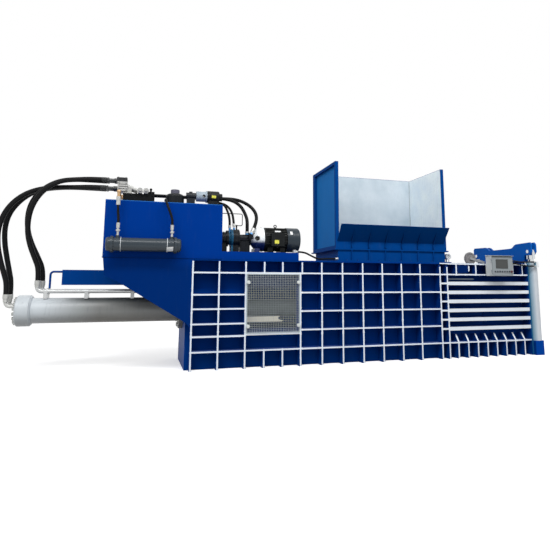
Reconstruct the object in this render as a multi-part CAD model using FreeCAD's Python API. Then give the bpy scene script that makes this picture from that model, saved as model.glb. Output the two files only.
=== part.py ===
import FreeCAD, Part
import math
import os

from FreeCAD import Vector

# Horizontal baler for waste paper and film, in millimetres.
# Stations along the machine count from the rear face of the press body towards the bale exit (+X).
# Y counts from the machine's middle plane (the control box is on the -Y side), Z from the floor.
# The finished pieces are moved along X so that the row's origin lies under the middle of the base.

# ---------------------------------------------------------------- driving dimensions
# Press body: a box of side plates, floor and roof, stiffened by a grid of flat ribs on edge
body_height = 1550
chamber_width = 1120
chamber_height = 1100
floor_top = 260
plate = 20
rib_depth = 170
rib = 28
rear_bays = 2
rear_bay = 387
window_bay = 834
front_bays = 6
front_bay = 340
last_bay = 373
ladder_bay = 135
top_row_drop = 192
shelf_row = 255
rear_rows = [462, 637, 845, 1046]
front_rows = [527, 798, 1071]
window_sill = 481
stub_offset = 27
ladder_chamfer = 52

# Exit section: the channel that holds the bale, with wire slots between its side bars
exit_length = 1614
end_post = 30
bar_first = 477
bar_pitch = 147
bar_count = 6
bar_height = 57
wire_slot = 40
slot_margin = 90
slot_length = 680
exit_rib_first = 151
exit_rib_last = 147
exit_ribs = 8
gusset_rise = 112
gusset_lean = 77
rear_posts = [167, 551]
front_posts = [306, 108]
lug_plate = [190, 430]
short_bar_length = 590

# Base, rear plate and roof
base_web = 20
base_bays = 8
rear_plate_thickness = 60
rear_plate_half = 600
deck_plate = 20
roof_webs = 4
roof_front_length = 156

# Hopper and the throat below it
feed_start = 2320
feed_length = 1924
hopper_half = 545
hopper_wall = 10
hopper_frame = 45
frame_face = 50
neck_height = 215
hopper_height = 1434
front_wall_height = 110
lip_reach = 200
lip_rise = 261
lip_ribs = 6
lip_rib_pitch = 300
hopper_flange = 20
flange_overhang = 25
lining = 4
neck_wall = 20
neck_rib = 12
neck_rib_depth = 24
foot_flange = 60

# Wire mesh over the window
mesh_wire = 8
mesh_columns = 12
mesh_rows = 12
mesh_frame = 22
mesh_bolt_radius = 27
mesh_bolt_head = 30
mesh_bolt_rows = [595, 1221]

# Oil tank and what carries it
tank_rear = 1190
tank_front = 415
tank_height = 796
tank_seam = 12
tank_wall = 8
cooler_reach = 116
cooler_rise = 172
cooler_radius = 92
cooler_span = [-1092, -228]
support_plate = 20
support_outline = [(0, 0), (1182, 0), (1155, 237), (949, 343), (85, 876), (30, 925), (0, 985)]
cross_member = 150
beam_length = 1765
beam_drop = 367
beam_height = 217
beam_width = 120
beam_wall = 8
hoop_rod = 30
hoop_reach = 160

# Main cylinder, piston rod and ram
cylinder_height = 823
barrel_radius = 178
barrel_wall = 28
barrel_rear = 2124
barrel_front = 280
cap_radius = 216
cap_flange = 65
cap_cover = 130
cap_bolts = 16
gland_length = 60
mount_flange_radius = 290
mount_flange = 60
mount_bolts = 12
bolt_radius = 24
bolt_head = 26
rod_radius = 125
piston_length = 180
piston_rest = 2180
fit_gap = 0.3
rod_flange_radius = 190
rod_flange = 40
ram_rear = 150
ram_back_plate = 385
ram_front = 2250
ram_side_gap = 10
ram_plate = 40
ram_face_plate = 60
ram_top_rail = 195
ram_bottom_rail = 283
ram_rail_width = 100
ram_skin = 20
ram_lift = 2
roof_gap = 3
knife_width = 80
knife_height = 52
knife_gap = 1
thrust_radius = 130
thrust_wall = 30
switch_bar_bottom = 640
switch_bar_height = 80
switch_bar_length = 950
switch_bar = 18

# Pipes on the barrel and the fittings at its two ends
pipe_radius = 30
pipe_rise = 272
pipe_spread = 60
pipe_ring = -1950
pipe_saddles = [-1985, -1450, -820]
front_port = -300

# Hoses: diameters
press_hose = 70
pump_hose = 52
drain_hose = 36
cooler_hose = 34
tension_hose = 25
cable = 28
crimp_factor = 1.14
elbow_bend = 60

# Tank-top valves, filter and small pump set
line_y = -295
manifold_start = -985
manifold_length = 440
manifold_width = 300
manifold_height = 154
manifold_port_height = 234
pressure_rows = [-178, -112]
pressure_rise = 187
valve_start = -1065
valve_length = 135
valve_rise = 189
valve_height = 137
coil_radius = 40
coil_stations = [-752, -668]
filter_station = -249
filter_y = -350
filter_radius = 146
filter_height = 188
filter_cap_radius = 65
filter_cap = 68
small_axis_y = -350
small_axis_rise = 174
small_motor_start = 222
small_motor_length = 190
small_motor_radius = 92
small_bell_length = 160
small_bell_radius = 78
small_pump_length = 148
small_pump_radius = 52

# Pump set on the platform
platform_end = 1578
platform_width = 650
platform_rise = 115
platform_plate = 12
motor_y = -420
motor_rise = 219
motor_start = 1085
motor_length = 385
motor_radius = 184
motor_fins = 28
fin_height = 14
fan_cover_length = 190
fan_cover_radius = 190
cover_wall = 4
bell_length = 195
bell_radius = 178
bell_wall = 16
bell_nose = 76
bell_cone = 84
bell_hole = 36
shaft_radius = 27.5
coupling_radius = 70
pump_radius = 135
pump_port_rise = 63
front_pump_radius = 66
suction_radius = 112
foot_height = 26

# Control box, its door and what is on it
sensor_offset = 194
sensor_y = -430
sensor_rise = 124
sensor_radius = 50
box_offset = 720
box_width = 415
box_drop = 213
box_height = 335
box_depth = 150
box_gap = 50
box_wall = 5
box_hood = 34
door_plate = 12
door_gap = 3
screen_size = [218, 132]
screen_offset = [83, 133]
panel_rise = 71
panel_first = 55
panel_pitch = 46
button_radius = 13
button_travel = 5
stop_radius = 20

# Tension cylinders, yoke and the hinged plate that they press down
tension_offset = 96
tension_y = 717
tube_radius = 92
tube_wall = 17
tube_foot = 240
tube_drop = 60
head_height = 95
head_radius = 94
tension_rod_radius = 50
tension_stroke = 50
tension_lap = 140
eye_radius = 72
eye_thickness = 56
pin_rise = 190
pin_radius = 30
yoke_cheek = 30
yoke_half = 802
yoke_gap = 20
yoke_lug_rise = 109
yoke_middle_height = 253
yoke_height = 331
yoke_deep_half = 600
bracket_front = 810
bracket_back = 600
bracket_round = 25
bracket_wall = 22
plate_hinge_offset = 310
plate_hinge_drop = 100
hinge_pin_radius = 30
hinge_barrel_radius = 48
tension_skin = 25
tension_plate_reach = 186
rocker_radius = 34
tension_side_gap = 15
tension_ribs = [-470, -190, 190, 470]
tension_rib = 20

# Bale length wheel on its arm
wheel_offset = 992
wheel_rise = 128
wheel_radius = 118
wheel_width = 36
wheel_teeth = 24
arm_pivot_offset = 1320
arm_pivot_rise = 50
arm_plate = 10
arm_pin = 10
wheel_slot_offsets = [870, 1180]

# ---------------------------------------------------------------- sizes that follow
half_inside = chamber_width / 2
plate_out = half_inside + plate
half_body = plate_out + rib_depth
roof_under = floor_top + chamber_height
window_start = rear_bays * rear_bay
window_end = window_start + window_bay
front_end = window_end + front_bays * front_bay
ladder_start = front_end + last_bay
ladder_end = ladder_start + ladder_bay
press_length = ladder_end + rib / 2
exit_end = press_length + exit_length
base_length = exit_end + end_post
origin_station = base_length / 2
bore_radius = barrel_radius - barrel_wall
feed_end = feed_start + feed_length
tank_top = body_height + tank_height
bar_rows = [bar_first + bar_pitch * k for k in range(bar_count)]
slot_rows = [z + bar_pitch / 2 for z in bar_rows[:-1]]
top_row = body_height - top_row_drop
exit_rib_pitch = (exit_length - exit_rib_first - exit_rib_last) / (exit_ribs - 1)
top_posts = rear_posts + [exit_length - gap for gap in front_posts]
hopper_base = body_height + neck_height
hopper_top = hopper_base + hopper_height
front_wall_top = hopper_base + front_wall_height
cooler_height = body_height + cooler_rise
beam_bottom = body_height - beam_drop
pipe_height = cylinder_height + pipe_rise
manifold_top = tank_top + manifold_height
manifold_port_top = tank_top + manifold_port_height
pressure_height = tank_top + pressure_rise
valve_bottom = tank_top + valve_rise
valve_top = valve_bottom + valve_height
filter_top = tank_top + filter_height
small_axis_height = tank_top + small_axis_rise
platform_top = body_height + platform_rise
motor_height = platform_top + motor_rise
pump_port_top = motor_height + pump_port_rise
sensor_station = press_length + sensor_offset
sensor_height = body_height + sensor_rise
box_start = press_length + box_offset
box_bottom = body_height - box_drop
panel_height = box_bottom + panel_rise
tension_station = base_length + tension_offset
tube_top = body_height - tube_drop
head_top = tube_top + head_height
pin_height = head_top + pin_rise
yoke_bottom = head_top + yoke_gap
yoke_lug_bottom = yoke_bottom + yoke_lug_rise
yoke_middle_top = yoke_bottom + yoke_middle_height
yoke_lug_top = yoke_bottom + yoke_height
plate_hinge_station = press_length + plate_hinge_offset
plate_hinge_height = body_height - plate_hinge_drop
tension_plate_end = base_length + tension_plate_reach
wheel_station = press_length + wheel_offset
wheel_height = body_height + wheel_rise
arm_pivot_station = press_length + arm_pivot_offset
arm_pivot_height = body_height + arm_pivot_rise
wheel_slot = [press_length + offset for offset in wheel_slot_offsets]

X = Vector(1, 0, 0)
Y = Vector(0, 1, 0)
Z = Vector(0, 0, 1)


# ---------------------------------------------------------------- helpers
def block(x0, x1, y0, y1, z0, z1):
    """A box between two opposite corners."""
    return Part.makeBox(x1 - x0, y1 - y0, z1 - z0, Vector(x0, y0, z0))


def rod(radius, start, end):
    """A round bar between two points."""
    return Part.makeCylinder(radius, (end - start).Length, start, end - start)


def tube(outer, inner, start, end):
    """A round tube between two points."""
    return rod(outer, start, end).cut(rod(inner, start, end))


def profile(points, depth):
    """A prism: the closed outline through the points, pushed along depth."""
    wire = Part.makePolygon(points + [points[0]])
    return Part.Face(wire).extrude(depth)


def hex_head(across, start, direction, height):
    """A hexagonal bolt head that stands on its seat at start."""
    side = Vector(0, 0, 1) if abs(direction.z) < 0.5 else Vector(1, 0, 0)
    corners = []
    for k in range(6):
        turn = FreeCAD.Rotation(direction, 60 * k)
        corners.append(start + turn.multVec(side) * (across / math.sqrt(3)))
    return profile(corners, direction.normalize() * height)


def fuse(shapes):
    """One solid from touching solids, with its coplanar faces joined."""
    first = shapes[0]
    return first.multiFuse(shapes[1:]).removeSplitter()


def group(shapes):
    """Several separate solids that share one node."""
    return Part.makeCompound(shapes)


def mirrored(shape):
    """The same piece on the other side of the middle plane."""
    return shape.mirror(Vector(0, 0, 0), Y)


def ring_of(count, radius, centre, axis, start_angle=0.0):
    """Points evenly spaced on a circle about an axis along X or Z."""
    side = Z if abs(axis.x) > 0.5 else X
    points = []
    for k in range(count):
        turn = FreeCAD.Rotation(axis, start_angle + 360.0 * k / count)
        points.append(centre + turn.multVec(side) * radius)
    return points


def save(name, shape):
    """Moves a finished piece into the row frame and writes it."""
    shape = shape.copy()
    shape.translate(Vector(-origin_station, 0, 0))
    shape.exportStep(os.path.join("parts", name + ".step"))
    print(name, "solids", len(shape.Solids), "valid", shape.isValid())


# ---------------------------------------------------------------- hoses
def route_wire(points):
    """Straight runs joined by tangent arcs, each reaching 0.45 of the shorter run at its point."""
    edges = []
    radii = []
    start = points[0]
    for before, corner, after in zip(points, points[1:], points[2:]):
        back = before - corner
        ahead = after - corner
        reach = 0.45 * min(back.Length, ahead.Length)
        half_turn = (math.pi - back.getAngle(ahead)) / 2
        radius = reach / math.tan(half_turn)
        first = corner + back.normalize() * reach
        last = corner + ahead.normalize() * reach
        inward = (first + last) * 0.5 - corner
        middle = corner + inward.normalize() * (radius / math.cos(half_turn) - radius)
        edges.append(Part.LineSegment(start, first).toShape())
        edges.append(Part.Arc(first, middle, last).toShape())
        radii.append(radius)
        start = last
    edges.append(Part.LineSegment(start, points[-1]).toShape())
    return Part.Wire(edges), radii


def hose(name, points, diameter):
    """A round hose along its route; prints its length, tightest bend and volume against section x length."""
    corners = [Vector(*p) for p in points]
    wire, radii = route_wire(corners)
    circle = Part.makeCircle(diameter / 2, corners[0], corners[1] - corners[0])
    solid = wire.makePipeShell([Part.Wire([circle])], True, False)
    section = math.pi * diameter**2 / 4
    share = solid.Volume / (section * wire.Length)
    bend = min(radii) / diameter
    print(f"{name}: length {wire.Length:.0f}, tightest bend {bend:.1f} diameters, volume share {share:.4f}")
    return solid


def elbow(radius, bend, start, first, second):
    """A round quarter bend that starts at a point along one direction and leaves along another."""
    corner = start + first * bend
    centre = start + second * bend
    middle = centre + (corner - centre).normalize() * bend
    arc = Part.Arc(start, middle, corner + second * bend).toShape()
    circle = Part.makeCircle(radius, start, first)
    return Part.Wire([arc]).makePipeShell([Part.Wire([circle])], True, False)


# Hose routes: points chosen by hand, in stations, Y and height
cap_hose_a = [
    (-1223, -350, 2578),
    (-1420, -350, 2578),
    (-1643, -310, 2565),
    (-1875, -240, 2567),
    (-2101, -190, 2543),
    (-2291, -170, 2469),
    (-2447, -160, 2336),
    (-2554, -148, 2162),
    (-2609, -134, 1951),
    (-2602, -116, 1730),
    (-2553, -95, 1510),
    (-2502, -74, 1345),
    (-2457, -60, 1195),
    (-2457, -60, 1052),
]
cap_hose_b = [
    (-1223, -240, 2578),
    (-1420, -240, 2578),
    (-1657, -200, 2585),
    (-1890, -140, 2580),
    (-2118, -98, 2545),
    (-2284, -75, 2463),
    (-2420, -50, 2333),
    (-2517, -20, 2182),
    (-2559, 5, 1997),
    (-2552, 28, 1785),
    (-2509, 46, 1560),
    (-2466, 57, 1370),
    (-2432, 60, 1215),
    (-2432, 60, 1052),
]
pipe_hose_a = [
    (-1215, -350, 2696),
    (-1410, -350, 2696),
    (-1616, -370, 2671),
    (-1812, -392, 2640),
    (-1976, -402, 2539),
    (-2098, -370, 2404),
    (-2184, -310, 2240),
    (-2222, -245, 2065),
    (-2223, -185, 1881),
    (-2187, -130, 1711),
    (-2127, -85, 1551),
    (-2072, -60, 1405),
    (-2072, -60, 1245),
]
pipe_hose_b = [
    (-1215, -240, 2696),
    (-1410, -240, 2696),
    (-1628, -278, 2690),
    (-1838, -306, 2653),
    (-2004, -316, 2559),
    (-2136, -275, 2433),
    (-2222, -205, 2276),
    (-2253, -140, 2105),
    (-2244, -80, 1927),
    (-2191, -25, 1755),
    (-2111, 25, 1580),
    (-2035, 60, 1402),
    (-2035, 60, 1240),
]
pump_hose_a = [
    (180, -112, 2533),
    (345, -112, 2533),
    (520, -122, 2549),
    (700, -152, 2540),
    (825, -225, 2488),
    (930, -312, 2402),
    (990, -400, 2284),
    (979, -480, 2147),
    (926, -522, 2036),
]
pump_hose_b = [
    (180, -178, 2533),
    (330, -178, 2533),
    (500, -184, 2536),
    (672, -208, 2502),
    (776, -262, 2410),
    (826, -332, 2290),
    (846, -400, 2190),
    (846, -420, 2095),
    (846, -420, 1998),
]
drain_hose_a = [
    (400, -163, 2470),
    (462, -215, 2462),
    (515, -285, 2408),
    (548, -355, 2310),
    (574, -412, 2195),
    (574, -420, 2085),
]
drain_hose_b = [
    (400, -106, 2468),
    (470, -160, 2464),
    (545, -238, 2425),
    (598, -325, 2345),
    (630, -392, 2230),
    (636, -420, 2110),
]
cooler_hose_a = [
    (-1018, -866, 2255),
    (-1018, -866, 2168),
    (-1005, -866, 2092),
    (-1005, -866, 2012),
]
cooler_hose_b = [
    (-392, -655, 2392),
    (-392, -738, 2392),
    (-388, -820, 2344),
    (-364, -863, 2262),
    (-325, -868, 2165),
    (-298, -866, 2080),
    (-298, -866, 2005),
]
tension_hose_a = [
    (5345, -770, 1604),
    (5470, -770, 1604),
    (5620, -802, 1579),
    (5745, -840, 1585),
    (5855, -840, 1585),
]
tension_hose_b = [
    (5345, -770, 1570),
    (5465, -770, 1570),
    (5610, -806, 1530),
    (5742, -840, 1511),
    (5855, -840, 1511),
]
motor_cable = [
    (1606, -600, 1690),
    (1712, -600, 1690),
    (1832, -590, 1632),
    (1965, -560, 1582),
    (2115, -530, 1598),
    (2255, -530, 1598),
]


# ---------------------------------------------------------------- press body
def rib_upright(x, top=body_height - deck_plate, bottom=0):
    """One vertical flat on edge, outside the near side plate."""
    return block(x - rib / 2, x + rib / 2, -half_body, -plate_out, bottom, top)


def rib_level(x0, x1, z, height=rib):
    """One horizontal flat on edge, outside the near side plate."""
    return block(x0, x1, -half_body, -plate_out, z - height / 2, z + height / 2)


def ladder_rib(x):
    """A full-height rib whose outer top corner is cut back."""
    upright = rib_upright(x)
    corner = [
        Vector(x - rib, -half_body - 1, body_height + 1),
        Vector(x - rib, -half_body - 1, body_height - ladder_chamfer * 1.35),
        Vector(x - rib, -half_body + ladder_chamfer, body_height + 1),
    ]
    return upright.cut(profile(corner, X * (2 * rib)))


def press_side(window):
    """Side plate with its rib grid; the near one has the window bay, the far one is closed."""
    uprights = [rear_bay * k for k in range(1, rear_bays)]
    uprights += [window_end + front_bay * k for k in range(1, front_bays + 1)]
    pieces = [block(0, press_length, -plate_out, -half_inside, 0, body_height)]
    pieces.append(block(0, press_length, -half_body, -plate_out, body_height - deck_plate, body_height))
    pieces.append(block(0, rib, -half_body, -plate_out, 0, body_height - deck_plate))
    pieces += [rib_upright(x) for x in uprights + [window_start]]
    pieces.append(rib_upright(window_end, top=top_row))
    pieces.append(rib_upright(window_end + stub_offset, bottom=top_row))
    pieces += [ladder_rib(ladder_start), ladder_rib(ladder_end)]
    pieces += [rib_level(0, ladder_start, z) for z in (shelf_row, top_row)]
    pieces += [rib_level(0, window_start, z) for z in rear_rows]
    pieces += [rib_level(window_end, ladder_start, z) for z in front_rows]
    pieces += [rib_level(ladder_start, ladder_end, z) for z in bar_rows + [shelf_row, top_row]]
    third = window_bay / 3
    for k in (1, 2):
        x = window_start + third * k
        pieces.append(rib_upright(x, bottom=top_row))
        pieces.append(rib_upright(x, top=shelf_row))
    if not window:
        pieces += [rib_level(window_start, window_end, z) for z in front_rows]
        pieces += [rib_upright(window_start + third * k) for k in (1, 2)]
        return mirrored(fuse(pieces))
    pieces.append(rib_level(window_start, window_end, window_sill))
    opening = block(
        window_start + rib / 2,
        window_end - rib / 2,
        -plate_out - 1,
        -half_inside + 1,
        window_sill + rib / 2,
        top_row - rib / 2,
    )
    return fuse(pieces).cut(opening)


def exit_side(slots):
    """Side of the bale channel: plate, six bars, shelf with gussets, end post and cylinder foot."""
    x0, x1 = press_length, exit_end
    pieces = [block(x0, x1, -plate_out, -half_inside, 0, body_height)]
    pieces += [rib_level(x0, x1, z, bar_height) for z in bar_rows]
    pieces += [rib_level(x0, x1, z) for z in (shelf_row, top_row, body_height - rib / 2)]
    for station in top_posts:
        pieces.append(rib_upright(x0 + station, top=body_height, bottom=top_row))
    for k in range(exit_ribs):
        x = x0 + exit_rib_first + exit_rib_pitch * k
        pieces.append(rib_upright(x, top=shelf_row))
        foot = shelf_row + rib / 2
        gusset = [
            Vector(x - rib / 2, -half_body, foot),
            Vector(x - rib / 2, -plate_out, foot),
            Vector(x - rib / 2, -plate_out, foot + gusset_rise),
            Vector(x - rib / 2, -half_body + gusset_lean, foot + gusset_rise),
        ]
        pieces.append(profile(gusset, X * rib))
    low, high = top_row + rib, body_height - rib
    lug = [
        Vector(x0 + lug_plate[0], -half_body + 8, low),
        Vector(x0 + lug_plate[1] - 60, -half_body + 8, low),
        Vector(x0 + lug_plate[1], -half_body + 8, low + 35),
        Vector(x0 + lug_plate[1], -half_body + 8, high - 25),
        Vector(x0 + lug_plate[1] - 25, -half_body + 8, high),
        Vector(x0 + lug_plate[0], -half_body + 8, high),
    ]
    lug_thickness = plate + 8
    pieces.append(profile(lug, Y * lug_thickness))
    bar_mid = (bar_rows[-1] + top_row) / 2
    tip = x0 + short_bar_length
    short = [
        Vector(x0, -plate_out - rib_depth * 0.4, bar_mid - rib / 2),
        Vector(tip - 40, -plate_out - rib_depth * 0.4, bar_mid - rib / 2),
        Vector(tip, -plate_out - rib_depth * 0.4, bar_mid),
        Vector(tip - 40, -plate_out - rib_depth * 0.4, bar_mid + rib / 2),
        Vector(x0, -plate_out - rib_depth * 0.4, bar_mid + rib / 2),
    ]
    short_depth = rib_depth * 0.4
    pieces.append(profile(short, Y * short_depth))
    pieces.append(block(exit_end, base_length, -half_body, -half_inside, 0, body_height))
    pieces.append(cylinder_foot())
    side = fuse(pieces)
    outer = hinge_point(-half_inside - plate - 1)
    inner = hinge_point(-half_inside + 1)
    side = side.cut(rod(hinge_pin_radius + fit_gap, outer, inner))
    if not slots:
        return mirrored(side)
    for z in slot_rows:
        cut = block(
            x0 + slot_margin,
            x0 + slot_margin + slot_length,
            -plate_out - 1,
            -half_inside + 1,
            z - wire_slot / 2,
            z + wire_slot / 2,
        )
        side = side.cut(cut)
    return side


def hinge_point(y):
    """A point on the tension plate's hinge line."""
    return Vector(plate_hinge_station, y, plate_hinge_height)


def cylinder_foot():
    """The rounded box at the foot of a tension cylinder, open below, welded to the end post."""
    x1 = tension_station + tube_radius - 4
    outer = block(base_length, x1, -bracket_front, -bracket_back, 0, tube_foot)
    corners = []
    for edge in outer.Edges:
        upright = abs(edge.tangentAt(edge.FirstParameter).z) > 0.9
        if upright and abs(edge.Vertexes[0].X - x1) < 1:
            corners.append(edge)
    outer = outer.makeFillet(bracket_round, corners)
    hollow = block(
        base_length + bracket_wall,
        x1 - bracket_wall,
        -bracket_front + bracket_wall,
        -bracket_back - bracket_wall,
        -1,
        tube_foot - bracket_wall,
    )
    return outer.cut(hollow)


def base_frame():
    """Chamber floor on a frame of cross webs and two long webs."""
    pieces = [block(0, base_length, -half_inside, half_inside, floor_top - plate, floor_top)]
    span = base_length - base_web
    for k in range(base_bays + 1):
        x = span * k / base_bays
        pieces.append(block(x, x + base_web, -half_inside, half_inside, 0, floor_top - plate))
    for y in (-chamber_width / 4, chamber_width / 4):
        pieces.append(block(0, base_length, y - base_web / 2, y + base_web / 2, 0, floor_top - plate))
    return fuse(pieces)


def rear_plate():
    """Thick end plate that takes the main cylinder's push."""
    slab = block(-rear_plate_thickness, 0, -rear_plate_half, rear_plate_half, 0, body_height)
    hole = rod(
        barrel_radius + fit_gap,
        Vector(-rear_plate_thickness - 1, 0, cylinder_height),
        Vector(1, 0, cylinder_height),
    )
    return slab.cut(hole)


def roof_box(x0, x1, webs):
    """Roof of two plates joined by cross webs, open towards the side plates."""
    pieces = [
        block(x0, x1, -half_inside, half_inside, roof_under, roof_under + deck_plate),
        block(x0, x1, -half_inside, half_inside, body_height - deck_plate, body_height),
    ]
    for k in range(webs + 1):
        x = x0 + (x1 - x0 - deck_plate) * k / webs
        pieces.append(
            block(x, x + deck_plate, -half_inside, half_inside, roof_under, body_height)
        )
    return fuse(pieces)


def roof_deck():
    """Roof behind the feed opening, and the short roof between it and the tension plate."""
    rear = roof_box(0, feed_start - neck_wall, roof_webs)
    front = roof_box(feed_end + neck_wall, feed_end + roof_front_length, 1)
    seat = block(
        feed_end + neck_wall - 1,
        feed_end + knife_width + 0.01,
        -half_inside + 1,
        half_inside - 1,
        roof_under - 1,
        roof_under + knife_height,
    )
    return group([rear, front.cut(seat)])


def shear_knife():
    """Fixed knife at the throat's front edge, seated in a step of the roof."""
    low = roof_under - roof_gap + knife_gap
    high = roof_under + knife_height
    return block(
        feed_end, feed_end + knife_width, -half_inside + 2, half_inside - 2, low, high
    )


# ---------------------------------------------------------------- hopper
def hopper_sheets():
    """Inner faces of the hopper: lowest and highest X and Y of the clear feed opening."""
    return feed_start, feed_end, -hopper_half + hopper_wall, hopper_half - hopper_wall


def wall_frame(x0, x1):
    """Border of a hopper side wall's outer face: four flats on edge."""
    low, high = hopper_base, hopper_top
    pieces = [
        block(x0, x1, -hopper_half, hopper_half, high - frame_face, high),
        block(x0, x1, -hopper_half, hopper_half, low, low + frame_face),
        block(x0, x1, -hopper_half, -hopper_half + frame_face, low, high),
        block(x0, x1, hopper_half - frame_face, hopper_half, low, high),
    ]
    return pieces


def lip_section(thickness):
    """Section of the folded front lip in the Y-Z plane; its foot is the front wall's top edge."""
    y0 = -hopper_half
    run = math.hypot(lip_reach, lip_rise)
    dy = thickness * lip_rise / run
    dz = thickness * lip_reach / run
    return [
        (y0, front_wall_top),
        (y0 - lip_reach, front_wall_top + lip_rise),
        (y0 - lip_reach + dy, front_wall_top + lip_rise + dz),
        (y0 + hopper_wall, front_wall_top),
    ]


def hopper_shell():
    """Three high walls with frames, a low front wall and its folded lip with ribs below."""
    x0, x1, y0, y1 = hopper_sheets()
    w = hopper_wall
    low, high = hopper_base, hopper_top
    left, right = x0 - w - hopper_frame, x1 + w + hopper_frame
    pieces = [
        block(x0 - w, x0, y0 - w, y1 + w, low, high),
        block(x1, x1 + w, y0 - w, y1 + w, low, high),
        block(x0 - w, x1 + w, y1, y1 + w, low, high),
        block(x0 - w, x1 + w, y0 - w, y0, low, front_wall_top),
    ]
    pieces += wall_frame(left, x0 - w)
    pieces += wall_frame(x1 + w, right)
    back0, back1 = y1 + w, y1 + w + hopper_frame
    pieces.append(block(left, right, back0, back1, high - frame_face, high))
    pieces.append(block(left, right, back0, back1, low, low + frame_face))
    for k in range(4):
        x = left + (right - left - frame_face) * k / 3
        pieces.append(block(x, x + frame_face, back0, back1, low, high))
    lip_start = x0 - w - frame_face / 2
    lip_end = x1
    section = [Vector(lip_start, y, z) for y, z in lip_section(w)]
    pieces.append(profile(section, X * (lip_end - lip_start)))
    for x in rib_stations():
        inside = -hopper_half + w / 2
        tip_y = -hopper_half - lip_reach * 0.94 + w / 2
        tip_z = front_wall_top + lip_rise * 0.94
        web = [
            Vector(x, inside, front_wall_top),
            Vector(x, tip_y, tip_z),
            Vector(x, tip_y + 22, tip_z - 38),
            Vector(x, -hopper_half - 26, front_wall_top - 20),
            Vector(x, -hopper_half - 26, low + 20),
            Vector(x, inside, low + 4),
        ]
        pieces.append(profile(web, X * neck_rib))
    return fuse(pieces)


def rib_stations():
    """Stations of the ribs under the lip and on the throat, centred on the feed opening."""
    middle = feed_start + feed_length / 2
    first = middle - lip_rib_pitch * (lip_ribs - 1) / 2
    return [first + lip_rib_pitch * k - neck_rib / 2 for k in range(lip_ribs)]


def hopper_lining():
    """Bare steel sheets on the inner faces of the three high walls."""
    x0, x1, y0, y1 = hopper_sheets()
    low, high = hopper_base + 2, hopper_top - 6
    front = y0 + 2
    pieces = [
        block(x0, x0 + lining, front, y1, low, high),
        block(x1 - lining, x1, front, y1, low, high),
        block(x0 + lining, x1 - lining, y1 - lining, y1, low, high),
    ]
    return fuse(pieces)


def hopper_neck():
    """Throat between hopper and chamber: four walls, a flange above and a foot flange on the deck."""
    x0, x1, y0, y1 = hopper_sheets()
    w = neck_wall
    outer = block(x0 - w, x1 + w, y0 - hopper_wall, y1 + hopper_wall, roof_under, hopper_base)
    flange = block(
        x0 - hopper_wall - hopper_frame - flange_overhang,
        x1 + hopper_wall + hopper_frame + flange_overhang,
        -hopper_half - flange_overhang,
        hopper_half + hopper_frame + flange_overhang,
        hopper_base - hopper_flange,
        hopper_base,
    )
    foot = block(
        x0 - w - foot_flange,
        x1 + w + foot_flange,
        -plate_out - foot_flange,
        plate_out + foot_flange,
        body_height,
        body_height + hopper_flange,
    )
    pieces = [outer, flange, foot]
    for x in rib_stations():
        pieces.append(
            block(
                x,
                x + neck_rib,
                -hopper_half - neck_rib_depth,
                -hopper_half,
                body_height + hopper_flange,
                hopper_base - hopper_flange,
            )
        )
    clear = block(x0, x1, y0 + 10, y1 - 10, roof_under - 1, hopper_base + 1)
    seat = block(x1, x1 + w + 1, -half_inside, half_inside, roof_under - 1, roof_under + knife_height)
    return fuse(pieces).cut(clear).cut(seat)


def frame_bolts():
    """Round bolts of the window mesh, and hexagon heads round the hopper's foot flange."""
    bolts = []
    face = -half_body - mesh_wire
    for x in (window_start + rib / 2 + mesh_frame, window_end - rib / 2 - mesh_frame):
        for z in mesh_bolt_rows:
            start = Vector(x, face, z)
            body = rod(mesh_bolt_radius, start, start - Y * mesh_bolt_head)
            bolts.append(body.makeChamfer(6, [body.Edges[0]]))
    top = body_height + hopper_flange
    for k in range(10):
        x = feed_start + feed_length * (k + 0.5) / 10
        for y in (-plate_out - foot_flange / 2, plate_out + foot_flange / 2):
            bolts.append(hex_head(30, Vector(x, y, top), Z, 14))
    return group(bolts)


def window_mesh():
    """Welded wire mesh in a flat frame over the window bay."""
    x0 = window_start + rib / 2
    x1 = window_end - rib / 2
    z0 = window_sill + rib / 2
    z1 = top_row - rib / 2
    face = -half_body
    frame = block(x0 - rib, x1 + rib, face - mesh_wire, face, z0 - rib, z1 + rib)
    frame = frame.cut(
        block(x0 + mesh_frame, x1 - mesh_frame, face - mesh_wire - 1, face + 1, z0 + 6, z1 - 6)
    )
    for x in (x0 + mesh_frame, x1 - mesh_frame):
        for z in mesh_bolt_rows:
            ear = rod(mesh_bolt_radius + 6, Vector(x, face, z), Vector(x, face - mesh_wire, z))
            frame = frame.fuse(ear)
    pieces = [frame]
    width = x1 - x0
    height = z1 - z0
    for k in range(1, mesh_columns):
        x = x0 + width * k / mesh_columns
        pieces.append(block(x - mesh_wire / 2, x + mesh_wire / 2, face - mesh_wire, face, z0, z1))
    for k in range(1, mesh_rows):
        z = z0 + height * k / mesh_rows
        pieces.append(block(x0, x1, face - mesh_wire, face, z - mesh_wire / 2, z + mesh_wire / 2))
    return fuse(pieces)


# ---------------------------------------------------------------- tank and supports
def tank_support():
    """Two side plates cut to a slant, tied by cross members; they carry the tank's rear part."""
    outline = [Vector(-x, -half_body, body_height - z) for x, z in support_outline]
    near = profile(outline, Y * support_plate)
    pieces = [near, mirrored(near)]
    for x in (-1130, -640, -rear_plate_thickness - 90):
        pieces.append(
            block(
                x,
                x + 90,
                -half_body + support_plate,
                half_body - support_plate,
                body_height - cross_member,
                body_height,
            )
        )
    return fuse(pieces)


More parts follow.
